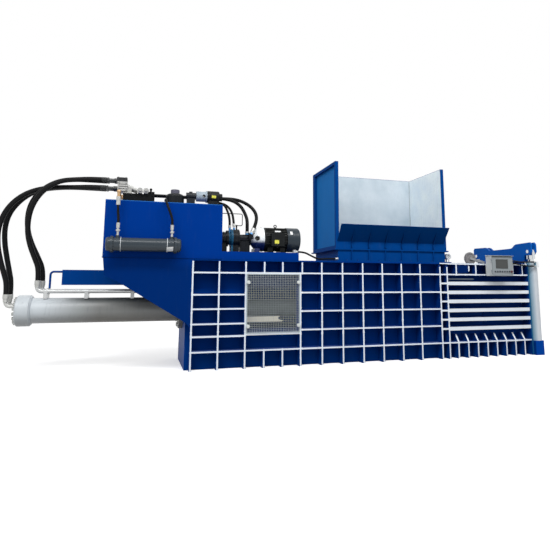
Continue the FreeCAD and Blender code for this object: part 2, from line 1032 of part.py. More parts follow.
def oil_tank():
    """Welded oil tank with a bottom flange and a bolted inspection lid."""
    low, high = body_height, tank_top
    body = block(-tank_rear, tank_front, -half_body, half_body, low + tank_seam, high)
    inside = block(
        -tank_rear + tank_wall,
        tank_front - tank_wall,
        -half_body + tank_wall,
        half_body - tank_wall,
        low + tank_seam + tank_wall,
        high - tank_wall,
    )
    seam = block(-tank_rear - 6, tank_front, -half_body - 6, half_body + 6, low, low + tank_seam)
    lid = block(-700, -100, 150, 650, high, high + 12)
    return fuse([body.cut(inside), seam, lid])


def service_beam():
    """Box beam over the cylinder, with a bent bar at its free end that holds the barrel pipes."""
    x0, x1 = -beam_length, -rear_plate_thickness
    y = beam_width / 2
    low, high = beam_bottom, beam_bottom + beam_height
    w = beam_wall
    outer = block(x0, x1, -y, y, low, high)
    inner = block(x0 - 1, x1 - 20, -y + w, y - w, low + w, high - w)
    shell = outer.cut(inner)
    bar_z = high - 28
    radius = hoop_rod / 2
    bend = 45
    start = Vector(x0 + 30, 0, bar_z)
    turn = Vector(x0 - hoop_reach + bend, 0, bar_z)
    bar = rod(radius, turn, start)
    corner = elbow(radius, bend, turn, -X, -Z)
    low_end = Vector(x0 - hoop_reach, 0, pipe_height + pipe_radius + 8)
    drop = rod(radius, Vector(x0 - hoop_reach, 0, bar_z - bend), low_end)
    plug = block(x0 + 20, x0 + 32, -y + w, y - w, low + w, high - w)
    return fuse([shell, plug, bar, corner, drop])


# ---------------------------------------------------------------- main cylinder
def on_axis(x):
    """A point on the main cylinder's axis."""
    return Vector(x, 0, cylinder_height)


def main_barrel():
    """Barrel with its rear flange, front mounting flange and the front pipe port."""
    front = on_axis(barrel_front)
    rear = on_axis(-barrel_rear - cap_flange)
    body = rod(barrel_radius, rear, front)
    rear_flange = rod(cap_radius, rear, on_axis(-barrel_rear))
    rear_flange = rear_flange.makeChamfer(22, [rear_flange.Edges[0]])
    mount = rod(
        mount_flange_radius,
        on_axis(-rear_plate_thickness - mount_flange),
        on_axis(-rear_plate_thickness),
    )
    port_low = Vector(front_port, 0, cylinder_height + barrel_radius - 20)
    port = rod(44, port_low, Vector(front_port, 0, pipe_height - 40))
    return fuse([body, rear_flange, mount, port]).cut(rod(bore_radius, rear - X, front + X))


def rear_cap():
    """Cover of the barrel's rear end, with the two pressure ports."""
    front = on_axis(-barrel_rear - cap_flange)
    rear = on_axis(-barrel_rear - cap_flange - cap_cover)
    cover = rod(cap_radius, rear, front)
    rims = [e for e in cover.Edges if e.Closed and len(e.Vertexes) == 1]
    edge = [e for e in rims if abs(e.Vertexes[0].X - rear.x) < 1]
    cover = cover.makeChamfer(16, edge)
    hub = rod(46, rear, rear - X * 22)
    return fuse([cover, hub])


def cap_bolt_set():
    """Hexagon heads on the rear cap and on the mounting flange."""
    bolts = []
    rear = -barrel_rear - cap_flange - cap_cover
    for p in ring_of(cap_bolts, cap_radius - 42, on_axis(rear), X, 11.25):
        bolts.append(hex_head(2 * bolt_radius - 8, p, -X, bolt_head))
    seat = -rear_plate_thickness - mount_flange
    for p in ring_of(mount_bolts, mount_flange_radius - 50, on_axis(seat), X, 15):
        bolts.append(hex_head(2 * bolt_radius, p, -X, bolt_head))
    return group(bolts)


def main_gland():
    """Gland ring that closes the barrel's front end round the rod."""
    start, end = on_axis(barrel_front), on_axis(barrel_front + gland_length)
    return tube(barrel_radius, rod_radius + fit_gap, start, end)


def piston_rod():
    """Piston, rod and the flange that is bolted to the ram."""
    x0 = -piston_rest
    piston = rod(bore_radius - fit_gap, on_axis(x0), on_axis(x0 + piston_length))
    end = ram_back_plate
    stem = rod(rod_radius, on_axis(x0 + piston_length), on_axis(end - rod_flange))
    flange = rod(rod_flange_radius, on_axis(end - rod_flange), on_axis(end))
    return fuse([piston, stem, flange])


def steel_pipes():
    """Two pipes with elbows, flange rings and saddles, from the hoses to the front port."""
    half = pipe_spread + pipe_radius + 12
    end = front_port + 70
    pieces = [block(end - 140, end, -half, half, pipe_height - 40, pipe_height + 40)]
    for route in (pipe_hose_a, pipe_hose_b):
        x, y = route[-1][0], route[-1][1]
        bend_end = Vector(x + elbow_bend, y, pipe_height)
        pieces.append(elbow(pipe_radius, elbow_bend, bend_end, -X, Z))
        pieces.append(rod(pipe_radius, bend_end, Vector(end, y, pipe_height)))
        ring = Vector(pipe_ring, y, pipe_height)
        pieces.append(rod(pipe_radius + 15, ring, ring + X * 22))
    saddle_low = cylinder_height + barrel_radius - 12
    for x in pipe_saddles:
        pieces.append(block(x, x + 50, -half + 6, half - 6, saddle_low, pipe_height))
    return fuse(pieces).cut(rod(barrel_radius, on_axis(-barrel_rear), on_axis(0)))


# ---------------------------------------------------------------- ram
def ram():
    """Box ram: face plate, back plate, four rails, top and bottom skins and the striker bar."""
    half = half_inside - ram_side_gap
    low = floor_top + ram_lift
    high = roof_under - roof_gap - knife_gap - 12
    x0, x1 = ram_rear, ram_front
    face = x1 - ram_face_plate
    rail = ram_rail_width
    pieces = [
        block(face, x1, -half, half, low, roof_under - roof_gap - knife_height),
        block(ram_back_plate, ram_back_plate + ram_plate, -half, half, low, high),
        block(x0, face, -half, half, low, low + ram_skin),
        block(x0, x1 - knife_width, -half, half, high - ram_skin, high),
    ]
    for y0, y1 in ((-half, -half + rail), (half - rail, half)):
        pieces.append(block(x0, face, y0, y1, low, low + ram_bottom_rail))
        pieces.append(block(x0, x1 - knife_width, y0, y1, high - ram_top_rail, high))
        pieces.append(block(x1 - knife_width - 40, face, y0, y1, low, roof_under - roof_gap - knife_height))
    start = ram_back_plate + ram_plate
    end = start + switch_bar_length
    middle = switch_bar_bottom + switch_bar_height / 2
    top = switch_bar_bottom + switch_bar_height
    hook = [
        Vector(start, -half, switch_bar_bottom),
        Vector(end, -half, switch_bar_bottom),
        Vector(end + 22, -half, switch_bar_bottom + 14),
        Vector(end - 55, -half, middle - 6),
        Vector(end - 62, -half, middle + 16),
        Vector(end - 30, -half, top),
        Vector(start, -half, top),
    ]
    pieces.append(profile(hook, Y * switch_bar))
    solid = fuse(pieces)
    groove_depth = 35
    for z in slot_rows:
        groove = block(
            x1 - groove_depth, x1 + 1, -half - 1, half + 1, z - wire_slot / 2, z + wire_slot / 2
        )
        solid = solid.cut(groove)
    return solid


def ram_knife():
    """Knife bar on the ram's upper front edge."""
    half = half_inside - ram_side_gap - 5
    top = roof_under - roof_gap
    return block(ram_front - knife_width, ram_front, -half, half, top - knife_height, top)


def thrust_tube():
    """Tube inside the ram that carries the rod's push to the face plate."""
    start = on_axis(ram_back_plate + ram_plate)
    end = on_axis(ram_front - ram_face_plate)
    return tube(thrust_radius, thrust_radius - thrust_wall, start, end)


# ---------------------------------------------------------------- tank-top pieces
def manifold_base():
    """Ported block under the press valves, with its lever valve and the pressure pipes' port block."""
    y0 = line_y - manifold_width / 2
    x0 = manifold_start
    x1 = x0 + manifold_length
    body = block(x0, x1, y0, y0 + manifold_width, tank_top, manifold_top)
    lever = Vector(x1 - 55, line_y - 60, manifold_top)
    stem = rod(14, lever, lever + Z * 75)
    knob = Part.makeSphere(20, lever + Z * 85)
    ports = block(x1 - 95, x1, pressure_rows[0] - 36, pressure_rows[1] + 32, tank_top, manifold_port_top)
    return fuse([body, stem, knob, ports])


def pressure_pipes():
    """Two steel pipes from the valves along the tank top, and the thin pilot pipe over the pumps."""
    x0 = manifold_start + manifold_length
    x1 = pump_hose_a[0][0] - 70
    pipes = [rod(21, Vector(x0, y, pressure_height), Vector(x1, y, pressure_height)) for y in pressure_rows]
    radius, bend = 6, 24
    right, height, low = 768, 2268, 2086
    start = Vector(tank_front, motor_y, height)
    turn = Vector(right - bend, motor_y, height)
    drop = Vector(right, motor_y, height - bend)
    below = Vector(right, motor_y, low + bend)
    end = Vector(680, motor_y, low)
    pilot = [
        rod(radius, start, turn),
        elbow(radius, bend, turn, X, -Z),
        rod(radius, drop, below),
        elbow(radius, bend, below, -Z, -X),
        rod(radius, Vector(right - bend, motor_y, low), end),
        rod(11, end + X * 12, end - X * 14),
        rod(11, end, Vector(end.x, motor_y, motor_height + pump_radius - 4)),
    ]
    pump = rod(pump_radius, motor_line(600), motor_line(720))
    return group(pipes + [fuse(pilot).cut(pump)])


def valve_body():
    """Press valve with its cartridge bodies and two solenoid coils facing the near side."""
    y0 = line_y - 125
    y1 = line_y + 125
    x0, x1 = valve_start, valve_start + valve_length
    body = block(x0, x1, y0, y1, valve_bottom, valve_top)
    foot = block(x0 + 80, x1 + 60, y0 + 20, y1 - 50, manifold_top, valve_bottom + 40)
    pieces = [body, foot]
    for k, y in enumerate((y0 + 60, y1 - 60)):
        start = Vector(x1, y, valve_bottom + 70)
        pieces.append(rod(36, start, start + Vector(70, 0, -22)))
        pieces.append(rod(27, start + Vector(66, 0, -21), start + Vector(140, 0, -46)))
    solids = [fuse(pieces)]
    for x in coil_stations:
        start = Vector(x, line_y - manifold_width / 2 + 20, manifold_top + coil_radius)
        coil = rod(coil_radius, start, start - Y * 70)
        core = rod(coil_radius * 0.4, start - Y * 70, start - Y * 96)
        seat = block(x - 30, x + 30, start.y, start.y + 180, manifold_top, manifold_top + 62)
        solids.append(fuse([coil, core, seat]))
    x0 = valve_start - 15
    solids.append(block(x0, x0 + valve_length + 10, y0 + 10, y0 + 240, valve_top, valve_top + 62))
    return group(solids)


def return_filter():
    """Low domed return filter on the tank with its screwed cap."""
    foot = Vector(filter_station, filter_y, tank_top)
    top = Vector(filter_station, filter_y, filter_top)
    ring = rod(filter_radius, foot, foot + Z * 34)
    body = rod(filter_radius - 12, foot, top)
    shoulder = [e for e in body.Edges if e.Closed and e.Vertexes[0].Z > filter_top - 1]
    body = body.makeFillet(46, shoulder)
    cap = rod(filter_cap_radius, top - Z * 6, top + Z * filter_cap)
    rim = [e for e in cap.Edges if e.Closed and e.Vertexes[0].Z > filter_top + 1]
    cap = cap.makeFillet(12, rim)
    return fuse([ring, body, cap])


def small_line(x):
    """A point on the small pump set's axis."""
    return Vector(x, small_axis_y, small_axis_height)


def small_motor():
    """Small round motor with its foot and its rear cover."""
    x0 = small_motor_start
    x1 = x0 + small_motor_length
    shell = rod(small_motor_radius, small_line(x0), small_line(x1))
    ends = [e for e in shell.Edges if e.Closed]
    shell = shell.makeFillet(22, ends)
    front = tube(small_motor_radius - 4, 22, small_line(x0), small_line(x0 + 22))
    foot = block(x0 + 24, x1 - 30, small_axis_y - 66, small_axis_y + 66, tank_top, small_axis_height - 50)
    tail = rod(58, small_line(x1), small_line(x1 + 44))
    motor = fuse([shell, front, foot, tail])
    well = rod(22, small_line(x0 - 1), small_line(x0 + 60))
    return motor.cut(well)


def small_bell():
    """Bell housing with its round sight hole, and the circulation pump on it."""
    x1 = small_motor_start
    x0 = x1 - small_bell_length
    wall = 12
    shell = rod(small_bell_radius, small_line(x0), small_line(x1))
    inside = rod(small_bell_radius - wall, small_line(x0 + wall), small_line(x1 + 1))
    flange = tube(small_motor_radius, small_bell_radius - wall, small_line(x1 - 14), small_line(x1))
    sight = rod(24, small_line((x0 + x1) / 2 + 30), small_line((x0 + x1) / 2 + 30) - Y * 150)
    pump = rod(small_pump_radius, small_line(x0 - small_pump_length), small_line(x0))
    port = rod(26, small_line(x0 - 80), small_line(x0 - 80) + Z * 66)
    foot = block(
        x0 - small_pump_length + 10,
        x0 - 20,
        small_axis_y - 60,
        small_axis_y + 60,
        tank_top,
        small_axis_height - 40,
    )
    housing = fuse([shell, flange, pump, port, foot]).cut(inside)
    bore = rod(12 + fit_gap, small_line(x0 - 40), small_line(x0 + wall + 1))
    return housing.cut(sight).cut(bore)


def small_rotor():
    """Shaft and coupling of the small pump set."""
    x1 = small_motor_start
    x0 = x1 - small_bell_length
    shaft = rod(12, small_line(x0 - 30), small_line(x1 + 40))
    coupling = rod(44, small_line(x0 + 40), small_line(x1 - 40))
    return fuse([shaft, coupling])


# ---------------------------------------------------------------- cooler
def cooler_axis(x):
    """A point on the cooler's axis."""
    return Vector(x, -half_body - cooler_reach, cooler_height)


def oil_cooler():
    """Tube cooler on the tank's near face: barrel, flanged end caps, straps and brackets."""
    x0, x1 = cooler_span
    radius = cooler_radius
    axis0, axis1 = cooler_axis(x0), cooler_axis(x1)
    y, z = axis0.y, axis0.z
    body = rod(radius, axis0, axis1)
    flanges = [
        rod(radius + 20, axis0, axis0 + X * 34),
        rod(radius + 20, axis1 - X * 34, axis1),
    ]
    dome0 = rod(radius + 4, axis0 - X * 58, axis0)
    dome1 = rod(radius + 4, axis1, axis1 + X * 58)
    dome0 = dome0.makeFillet(34, [e for e in dome0.Edges if e.Closed and e.Vertexes[0].X < x0 - 50])
    dome1 = dome1.makeFillet(34, [e for e in dome1.Edges if e.Closed and e.Vertexes[0].X > x1 + 50])
    bosses = [
        rod(28, Vector(x, y, z + radius - 12), Vector(x, y, z + radius + 26)) for x in (-1005, -298)
    ]
    brackets = []
    for x in (-960, -352):
        brackets.append(tube(radius + 5, radius - 2, Vector(x - 9, y, z), Vector(x + 9, y, z)))
        brackets.append(block(x - 30, x + 30, y, -half_body, z - 40, z + 40))
    shell = fuse([body, dome0, dome1] + flanges + bosses + brackets)
    bolts = []
    for axis, way in ((axis0 + X * 34, X), (axis1 - X * 34, -X)):
        for p in ring_of(8, radius + 11, axis, X, 22.5):
            bolts.append(hex_head(14, p, way, 9))
    return fuse([shell] + bolts)


# ---------------------------------------------------------------- pump set on the platform
def motor_line(x):
    """A point on the main pump set's axis."""
    return Vector(x, motor_y, motor_height)


def motor_platform():
    """Folded platform beside the tank: top plate, skirts and cross ribs."""
    x0, x1 = tank_front, platform_end
    y0, y1 = -half_body, -half_body + platform_width
    t = platform_plate
    pieces = [
        block(x0, x1, y0, y1, platform_top - t, platform_top),
        block(x0, x1, y0, y0 + t, body_height, platform_top),
        block(x0, x1, y1 - t, y1, body_height, platform_top),
        block(x1 - t, x1, y0, y1, body_height, platform_top),
    ]
    for k in (1, 2, 3):
        x = x0 + (x1 - x0) * k / 4
        pieces.append(block(x, x + t, y0, y1, body_height, platform_top))
    return fuse(pieces)


def main_motor():
    """Finned motor housing with end shields, feet and lifting eye."""
    x0, x1 = motor_start, motor_start + motor_length
    core = rod(motor_radius - fin_height, motor_line(x0), motor_line(x1))
    pieces = [core]
    for k in range(motor_fins):
        angle = 360.0 * k / motor_fins
        fin = block(
            x0 + 30,
            x1 - 10,
            motor_y - 3.5,
            motor_y + 3.5,
            motor_height + motor_radius - fin_height - 6,
            motor_height + motor_radius,
        )
        fin.rotate(motor_line(0), X, angle)
        pieces.append(fin)
    pieces.append(rod(motor_radius, motor_line(x0), motor_line(x0 + 30)))
    pieces.append(rod(fan_cover_radius - cover_wall, motor_line(x1 - 22), motor_line(x1)))
    for x in (x0 + 60, x1 - 130):
        pieces.append(
            block(x, x + 80, motor_y - 170, motor_y + 170, platform_top, platform_top + foot_height)
        )
        pieces.append(
            block(x, x + 80, motor_y - 120, motor_y + 120, platform_top, motor_height - 130)
        )
    eye_x = x0 + 205
    eye_z = motor_height + motor_radius + 26
    eye = Part.makeTorus(20, 7, Vector(eye_x, motor_y, eye_z), Y)
    stem_low = Vector(eye_x, motor_y, motor_height + motor_radius - 20)
    stem = rod(11, stem_low, Vector(eye_x, motor_y, eye_z - 16))
    pieces += [stem, eye]
    body = fuse(pieces)
    bore = rod(coupling_radius, motor_line(x0 - 1), motor_line(x1 - 30))
    rear = rod(shaft_radius + fit_gap, motor_line(x1 - 31), motor_line(x1 + 1))
    return body.cut(bore).cut(rear)


def terminal_box():
    """Terminal box on the motor's near side."""
    x0 = motor_start + 95
    y1 = motor_y - motor_radius + 18
    box = block(x0, x0 + 190, y1 - 78, y1 + 40, motor_height - 112, motor_height + 80)
    lid = block(x0 - 6, x0 + 196, y1 - 92, y1 - 78, motor_height - 118, motor_height + 86)
    gland_top = Vector(x0 + 95, y1 - 40, motor_height - 112)
    gland = rod(17, gland_top, gland_top - Z * 28)
    solid = fuse([box, lid, gland])
    return solid.cut(rod(motor_radius + fit_gap, motor_line(x0 - 20), motor_line(x0 + 220)))


def fan_cover():
    """Fan cowl with a slotted grille in its end."""
    x0 = motor_start + motor_length - 20
    x1 = x0 + 20 + fan_cover_length
    outer = rod(fan_cover_radius, motor_line(x0), motor_line(x1))
    rim = [e for e in outer.Edges if e.Closed and e.Vertexes[0].X > x1 - 1]
    outer = outer.makeFillet(28, rim)
    inner = rod(fan_cover_radius - cover_wall, motor_line(x0 - 1), motor_line(x1 - cover_wall - 26))
    x_back = x1 - cover_wall
    back = rod(fan_cover_radius - cover_wall - 26, motor_line(x_back - 27), motor_line(x_back))
    cowl = outer.cut(inner.fuse(back))
    slots = []
    for k in range(-3, 4):
        z = motor_height + 34 * k
        half = math.sqrt((fan_cover_radius - 45) ** 2 - (34 * k) ** 2)
        slots.append(block(x1 - cover_wall - 2, x1 + 1, motor_y - half, motor_y + half, z - 10, z + 10))
    return cowl.cut(slots[0].multiFuse(slots[1:]))


def bell_housing():
    """Cast bell housing between motor and pump, with round sight holes."""
    x1 = motor_start
    x0 = x1 - bell_length
    shell = rod(bell_radius, motor_line(x0 + bell_cone), motor_line(x1))
    front = Part.makeCone(bell_nose, bell_radius, bell_cone, motor_line(x0), X)
    flange = rod(motor_radius + 6, motor_line(x1 - 22), motor_line(x1))
    inside = rod(bell_radius - bell_wall, motor_line(x0 + bell_cone), motor_line(x1 + 1))
    throat = Part.makeCone(
        bell_nose - bell_wall, bell_radius - bell_wall, bell_cone - bell_wall, motor_line(x0 + bell_wall), X
    )
    foot = block(
        x0 + 50,
        x0 + 130,
        motor_y - 120,
        motor_y + 120,
        platform_top,
        motor_height - bell_radius + 30,
    )
    housing = fuse([shell, front, flange, foot]).cut(inside.fuse(throat))
    middle = (x0 + x1) / 2 - 12
    sight = rod(bell_hole, motor_line(middle) - Y * 300, motor_line(middle) + Y * 300)
    bore = rod(shaft_radius + fit_gap, motor_line(x0 - 1), motor_line(x0 + 60))
    return housing.cut(sight).cut(bore)


def motor_rotor():
    """Motor shaft, coupling and the pump's shaft end, which turn together."""
    x0 = motor_start - bell_length
    x1 = motor_start + motor_length
    shaft = rod(shaft_radius, motor_line(x0 - 60), motor_line(x1 + 60))
    coupling = rod(coupling_radius - 4, motor_line(x0 + 55), motor_line(x0 + 160))
    waist = rod(coupling_radius - 14, motor_line(x0 + 95), motor_line(x0 + 115))
    gap = rod(coupling_radius, motor_line(x0 + 98), motor_line(x0 + 112))
    armature = rod(coupling_radius - 8, motor_line(motor_start + 60), motor_line(x1 - 60))
    return fuse([shaft, coupling.cut(gap), waist, armature])


def motor_fan():
    """Radial fan on the motor shaft's rear end."""
    x0 = motor_start + motor_length + 20
    hub = tube(52, shaft_radius, motor_line(x0), motor_line(x0 + 34))
    disc = tube(130, 50, motor_line(x0), motor_line(x0 + 8))
    pieces = [hub, disc]
    for k in range(7):
        blade = block(x0, x0 + 62, motor_y - 3, motor_y + 3, motor_height + 50, motor_height + 130)
        blade.rotate(motor_line(0), X, 360.0 * k / 7)
        pieces.append(blade)
    return fuse(pieces)


def hydraulic_pump():
    """Suction joint, main pump and front pump in one row between the tank and the bell housing."""
    x1 = motor_start - bell_length
    pieces = [
        rod(suction_radius, motor_line(tank_front), motor_line(tank_front + 24)),
        rod(suction_radius - 22, motor_line(tank_front + 24), motor_line(522)),
        rod(suction_radius + 10, motor_line(522), motor_line(550)),
        rod(96, motor_line(550), motor_line(584)),
        rod(pump_radius, motor_line(584), motor_line(716)),
        rod(front_pump_radius, motor_line(716), motor_line(x1 - 24)),
        rod(front_pump_radius + 34, motor_line(x1 - 24), motor_line(x1)),
    ]
    for x in (450, 480, 510):
        pieces.append(rod(suction_radius - 8, motor_line(x), motor_line(x + 12)))
    for x in (598, 640, 696):
        pieces.append(rod(pump_radius + 9, motor_line(x), motor_line(x + 14)))
    ports = block(770, x1, motor_y - 46, motor_y + 46, motor_height, pump_port_top)
    neck = block(x1 - 42, x1 - 3, motor_y - 120, motor_y, pump_port_top - 66, pump_port_top - 6)
    pad = block(x1 - 42, x1 + 20, motor_y - 150, motor_y - 106, pump_port_top - 72, pump_port_top)
    lower = block(728, x1 - 14, motor_y - 70, motor_y + 70, platform_top, motor_height - 40)
    foot = block(590, 700, motor_y - 90, motor_y + 90, platform_top, motor_height - 60)
    stand = block(tank_front + 20, 528, motor_y - 60, motor_y + 60, platform_top, motor_height - 60)
    body = fuse(pieces + [ports, neck, pad, lower, foot, stand])
    return body.cut(rod(shaft_radius + fit_gap, motor_line(x1 - 70), motor_line(x1 + 1)))


# ---------------------------------------------------------------- control box
def box_front():
    """Y of the control box's open front edge."""
    return -half_body - box_gap - box_depth


def control_box():
    """Sheet steel box on two brackets, with a rain hood and hinge pins at its left edge."""
    x0, x1 = box_start, box_start + box_width
    front, back = box_front(), -half_body - box_gap
    z0, z1 = box_bottom, box_bottom + box_height
    w = box_wall
    shell = block(x0, x1, front, back, z0, z1)
    shell = shell.cut(block(x0 + w, x1 - w, front - 1, back - w, z0 + w, z1 - w))
    hood = [
        Vector(x0 - 8, front, z1),
        Vector(x0 - 8, front - box_hood, z1 - 6),
        Vector(x0 - 8, front - box_hood, z1 + 4),
        Vector(x0 - 8, back, z1 + 16),
        Vector(x0 - 8, back, z1),
    ]
    pieces = [shell, profile(hood, X * (box_width + 16))]
    for x in (x0 + 30, x1 - 70):
        pieces.append(block(x, x + 40, back, -half_body, top_row - rib / 2, body_height))
    pin_x, pin_y = door_hinge()
    for z in (z0 + 60, z1 - 90):
        pieces.append(rod(3, Vector(pin_x, pin_y, z - 16), Vector(pin_x, pin_y, z + 46)))
        for low in (z - 16, z + 34):
            pieces.append(block(pin_x - 7, x0 + 1, pin_y - 5, front + 16, low, low + 12))
    return fuse(pieces)


def level_sensor():
    """Round optical sensor on a post beside the hopper's neck."""
    x, y, z = sensor_station, sensor_y, sensor_height
    foot = block(x - 34, x + 34, y - 35, y + 35, body_height, body_height + 10)
    post = block(x - 10, x + 10, y - 8, y + 8, body_height + 10, z)
    head = rod(sensor_radius, Vector(x, y, z), Vector(x, y - 75, z))
    lens = rod(sensor_radius - 22, Vector(x, y - 60, z), Vector(x, y - 76, z))
    conduit = rod(7, Vector(x + 50, y, z + 50), Vector(x + 50, y, body_height))
    link = rod(7, Vector(x, y, z + 10), Vector(x + 50, y, z + 10))
    return fuse([foot, post, head, conduit, link]).cut(lens)


def door_hinge():
    """The control door's hinge line: station and Y."""
    return box_start - 9, box_front() - door_plate / 2


def panel_stations():
    """Stations of the eight places in the row below the screen."""
    return [box_start + panel_first + panel_pitch * k for k in range(8)]


def control_door():
    """Door with its hinge knuckles, button holes and four signal lamps."""
    x0, x1 = box_start + door_gap, box_start + box_width - door_gap
    front = box_front()
    z0, z1 = box_bottom + door_gap, box_bottom + box_height - 16
    leaf = block(x0, x1, front - door_plate, front, z0, z1)
    pin_x, pin_y = door_hinge()
    pieces = [leaf]
    for z in (box_bottom + 60, box_bottom + box_height - 90):
        pieces.append(rod(7, Vector(pin_x, pin_y, z - 3), Vector(pin_x, pin_y, z + 33)))
        pieces.append(block(pin_x, x0 + 1, pin_y - 4, pin_y + 4, z - 3, z + 33))
    face = front - door_plate
    for x in panel_stations()[:4]:
        lamp = rod(button_radius, Vector(x, face, panel_height), Vector(x, face - 12, panel_height))
        rim = [e for e in lamp.Edges if e.Closed and e.Vertexes[0].Y < face - 11]
        pieces.append(lamp.makeFillet(5, rim))
    door = fuse(pieces)
    for z in (box_bottom + 60, box_bottom + box_height - 90):
        door = door.cut(rod(3 + fit_gap, Vector(pin_x, pin_y, z - 4), Vector(pin_x, pin_y, z + 34)))
    for x in panel_stations()[4:]:
        hole = rod(8 + fit_gap, Vector(x, face - 1, panel_height), Vector(x, front + 1, panel_height))
        door = door.cut(hole)
    return door


def screen():
    """Touch screen with its raised rim on the door."""
    face = box_front() - door_plate
    x0 = box_start + screen_offset[0]
    z0 = box_bottom + screen_offset[1]
    rim = block(x0 - 10, x0 + screen_size[0] + 10, face - 5, face, z0 - 10, z0 + screen_size[1] + 10)
    glass = block(x0, x0 + screen_size[0], face - 6, face - 3, z0, z0 + screen_size[1])
    return rim.cut(glass)


def push_button(x, radius, dome):
    """A button: head, stem through the door and a shoulder behind it."""
    front = box_front()
    face = front - door_plate
    head_back = face - button_travel - 1
    head = rod(radius, Vector(x, head_back, panel_height), Vector(x, head_back - dome, panel_height))
    rim = [e for e in head.Edges if e.Closed and e.Vertexes[0].Y < head_back - dome + 1]
    head = head.makeFillet(dome * 0.4, rim)
    stem = rod(8, Vector(x, head_back, panel_height), Vector(x, front + 8, panel_height))
    shoulder = rod(12, Vector(x, front + 1, panel_height), Vector(x, front + 8, panel_height))
    return fuse([head, stem, shoulder])


# ---------------------------------------------------------------- tension cylinders
def tension_point(z):
    """A point on the near tension cylinder's axis."""
    return Vector(tension_station, -tension_y, z)


def tension_tube():
    """Cylinder tube with its foot ring, head and two ports."""
    bore = tube_radius - tube_wall
    body = rod(tube_radius, tension_point(tube_foot), tension_point(tube_top))
    foot = rod(tube_radius - 4, tension_point(tube_foot), tension_point(tube_foot + 30))
    head = rod(head_radius, tension_point(tube_top), tension_point(head_top))
    rim = [e for e in head.Edges if e.Closed and e.Vertexes[0].Z > head_top - 1]
    head = head.makeChamfer(8, rim)
    y1 = -tension_y - 60
    valve = block(tension_station - 25, tension_station + 25, y1 - 86, y1, tube_top + 2, head_top + 4)
    solid = fuse([body, foot, head, valve])
    solid = solid.cut(rod(bore, tension_point(tube_foot + 30), tension_point(tube_top)))
    gland = rod(tension_rod_radius + fit_gap, tension_point(tube_top - 1), tension_point(head_top + 1))
    return solid.cut(gland)


def tension_rod():
    """Rod with its piston and the eye that the yoke's pin goes through."""
    bore = tube_radius - tube_wall
    low = tube_top - 80 - tension_lap
    x0 = tension_station - eye_thickness / 2
    centre = Vector(x0, -tension_y, pin_height)
    neck_bottom = head_top + tension_stroke + 8
    piston = rod(bore - fit_gap, tension_point(low), tension_point(low + 80))
    stem = rod(tension_rod_radius, tension_point(low), tension_point(neck_bottom + 10))
    eye = rod(eye_radius, centre, centre + X * eye_thickness)
    y0, y1 = -tension_y - eye_radius, -tension_y + eye_radius
    neck = block(x0, x0 + eye_thickness, y0, y1, neck_bottom, pin_height)
    collar = rod(eye_radius, tension_point(neck_bottom), tension_point(yoke_lug_bottom - 8))
    solid = fuse([piston, stem, eye, neck, collar])
    return solid.cut(rod(pin_radius, centre - X, centre + X * (eye_thickness + 1)))


def yoke_pin():
    """Pin through a yoke lug and a rod eye, with its retaining heads."""
    half = eye_thickness / 2 + yoke_cheek + 2
    start = Vector(tension_station - half - 10, -tension_y, pin_height)
    end = Vector(tension_station + half + 10, -tension_y, pin_height)
    return rod(pin_radius, start, end)


def yoke_outline():
    """The yoke plate's outline as (Y, Z) points: deep middle, stepped ends and raised lugs."""
    right = [
        (0, yoke_bottom),
        (yoke_deep_half - 30, yoke_bottom),
        (yoke_deep_half, yoke_bottom + 22),
        (yoke_deep_half + 25, yoke_lug_bottom),
        (yoke_half - 45, yoke_lug_bottom),
        (yoke_half, yoke_lug_bottom + 55),
        (yoke_half, yoke_lug_top - 35),
        (yoke_half - 28, yoke_lug_top),
        (430, yoke_lug_top - 8),
        (385, yoke_lug_top - 24),
        (325, yoke_middle_top + 8),
        (270, yoke_middle_top),
    ]
    left = [(-y, z) for y, z in reversed(right[1:])]
    return right + left


def tension_yoke():
    """Two shaped cheeks tied by cross plates; it bears on the tension plate's rocker bar."""
    inside = eye_thickness / 2 + 2
    pieces = []
    for x in (tension_station - inside - yoke_cheek, tension_station + inside):
        outline = [Vector(x, y, z) for y, z in yoke_outline()]
        pieces.append(profile(outline, X * yoke_cheek))
    x0, x1 = tension_station - inside, tension_station + inside
    pieces.append(block(x0, x1, -yoke_deep_half + 30, yoke_deep_half - 30, yoke_bottom, yoke_bottom + 30))
    pieces.append(block(x0, x1, -270, 270, yoke_middle_top - 26, yoke_middle_top))
    for y in (-yoke_deep_half + 40, -200, 175, yoke_deep_half - 65):
        pieces.append(block(x0, x1, y, y + 25, yoke_bottom, yoke_middle_top - 10))
    body = fuse(pieces)
    for y in (-tension_y, tension_y):
        centre = Vector(tension_station - 100, y, pin_height)
        body = body.cut(rod(pin_radius, centre, centre + X * 200))
    return body


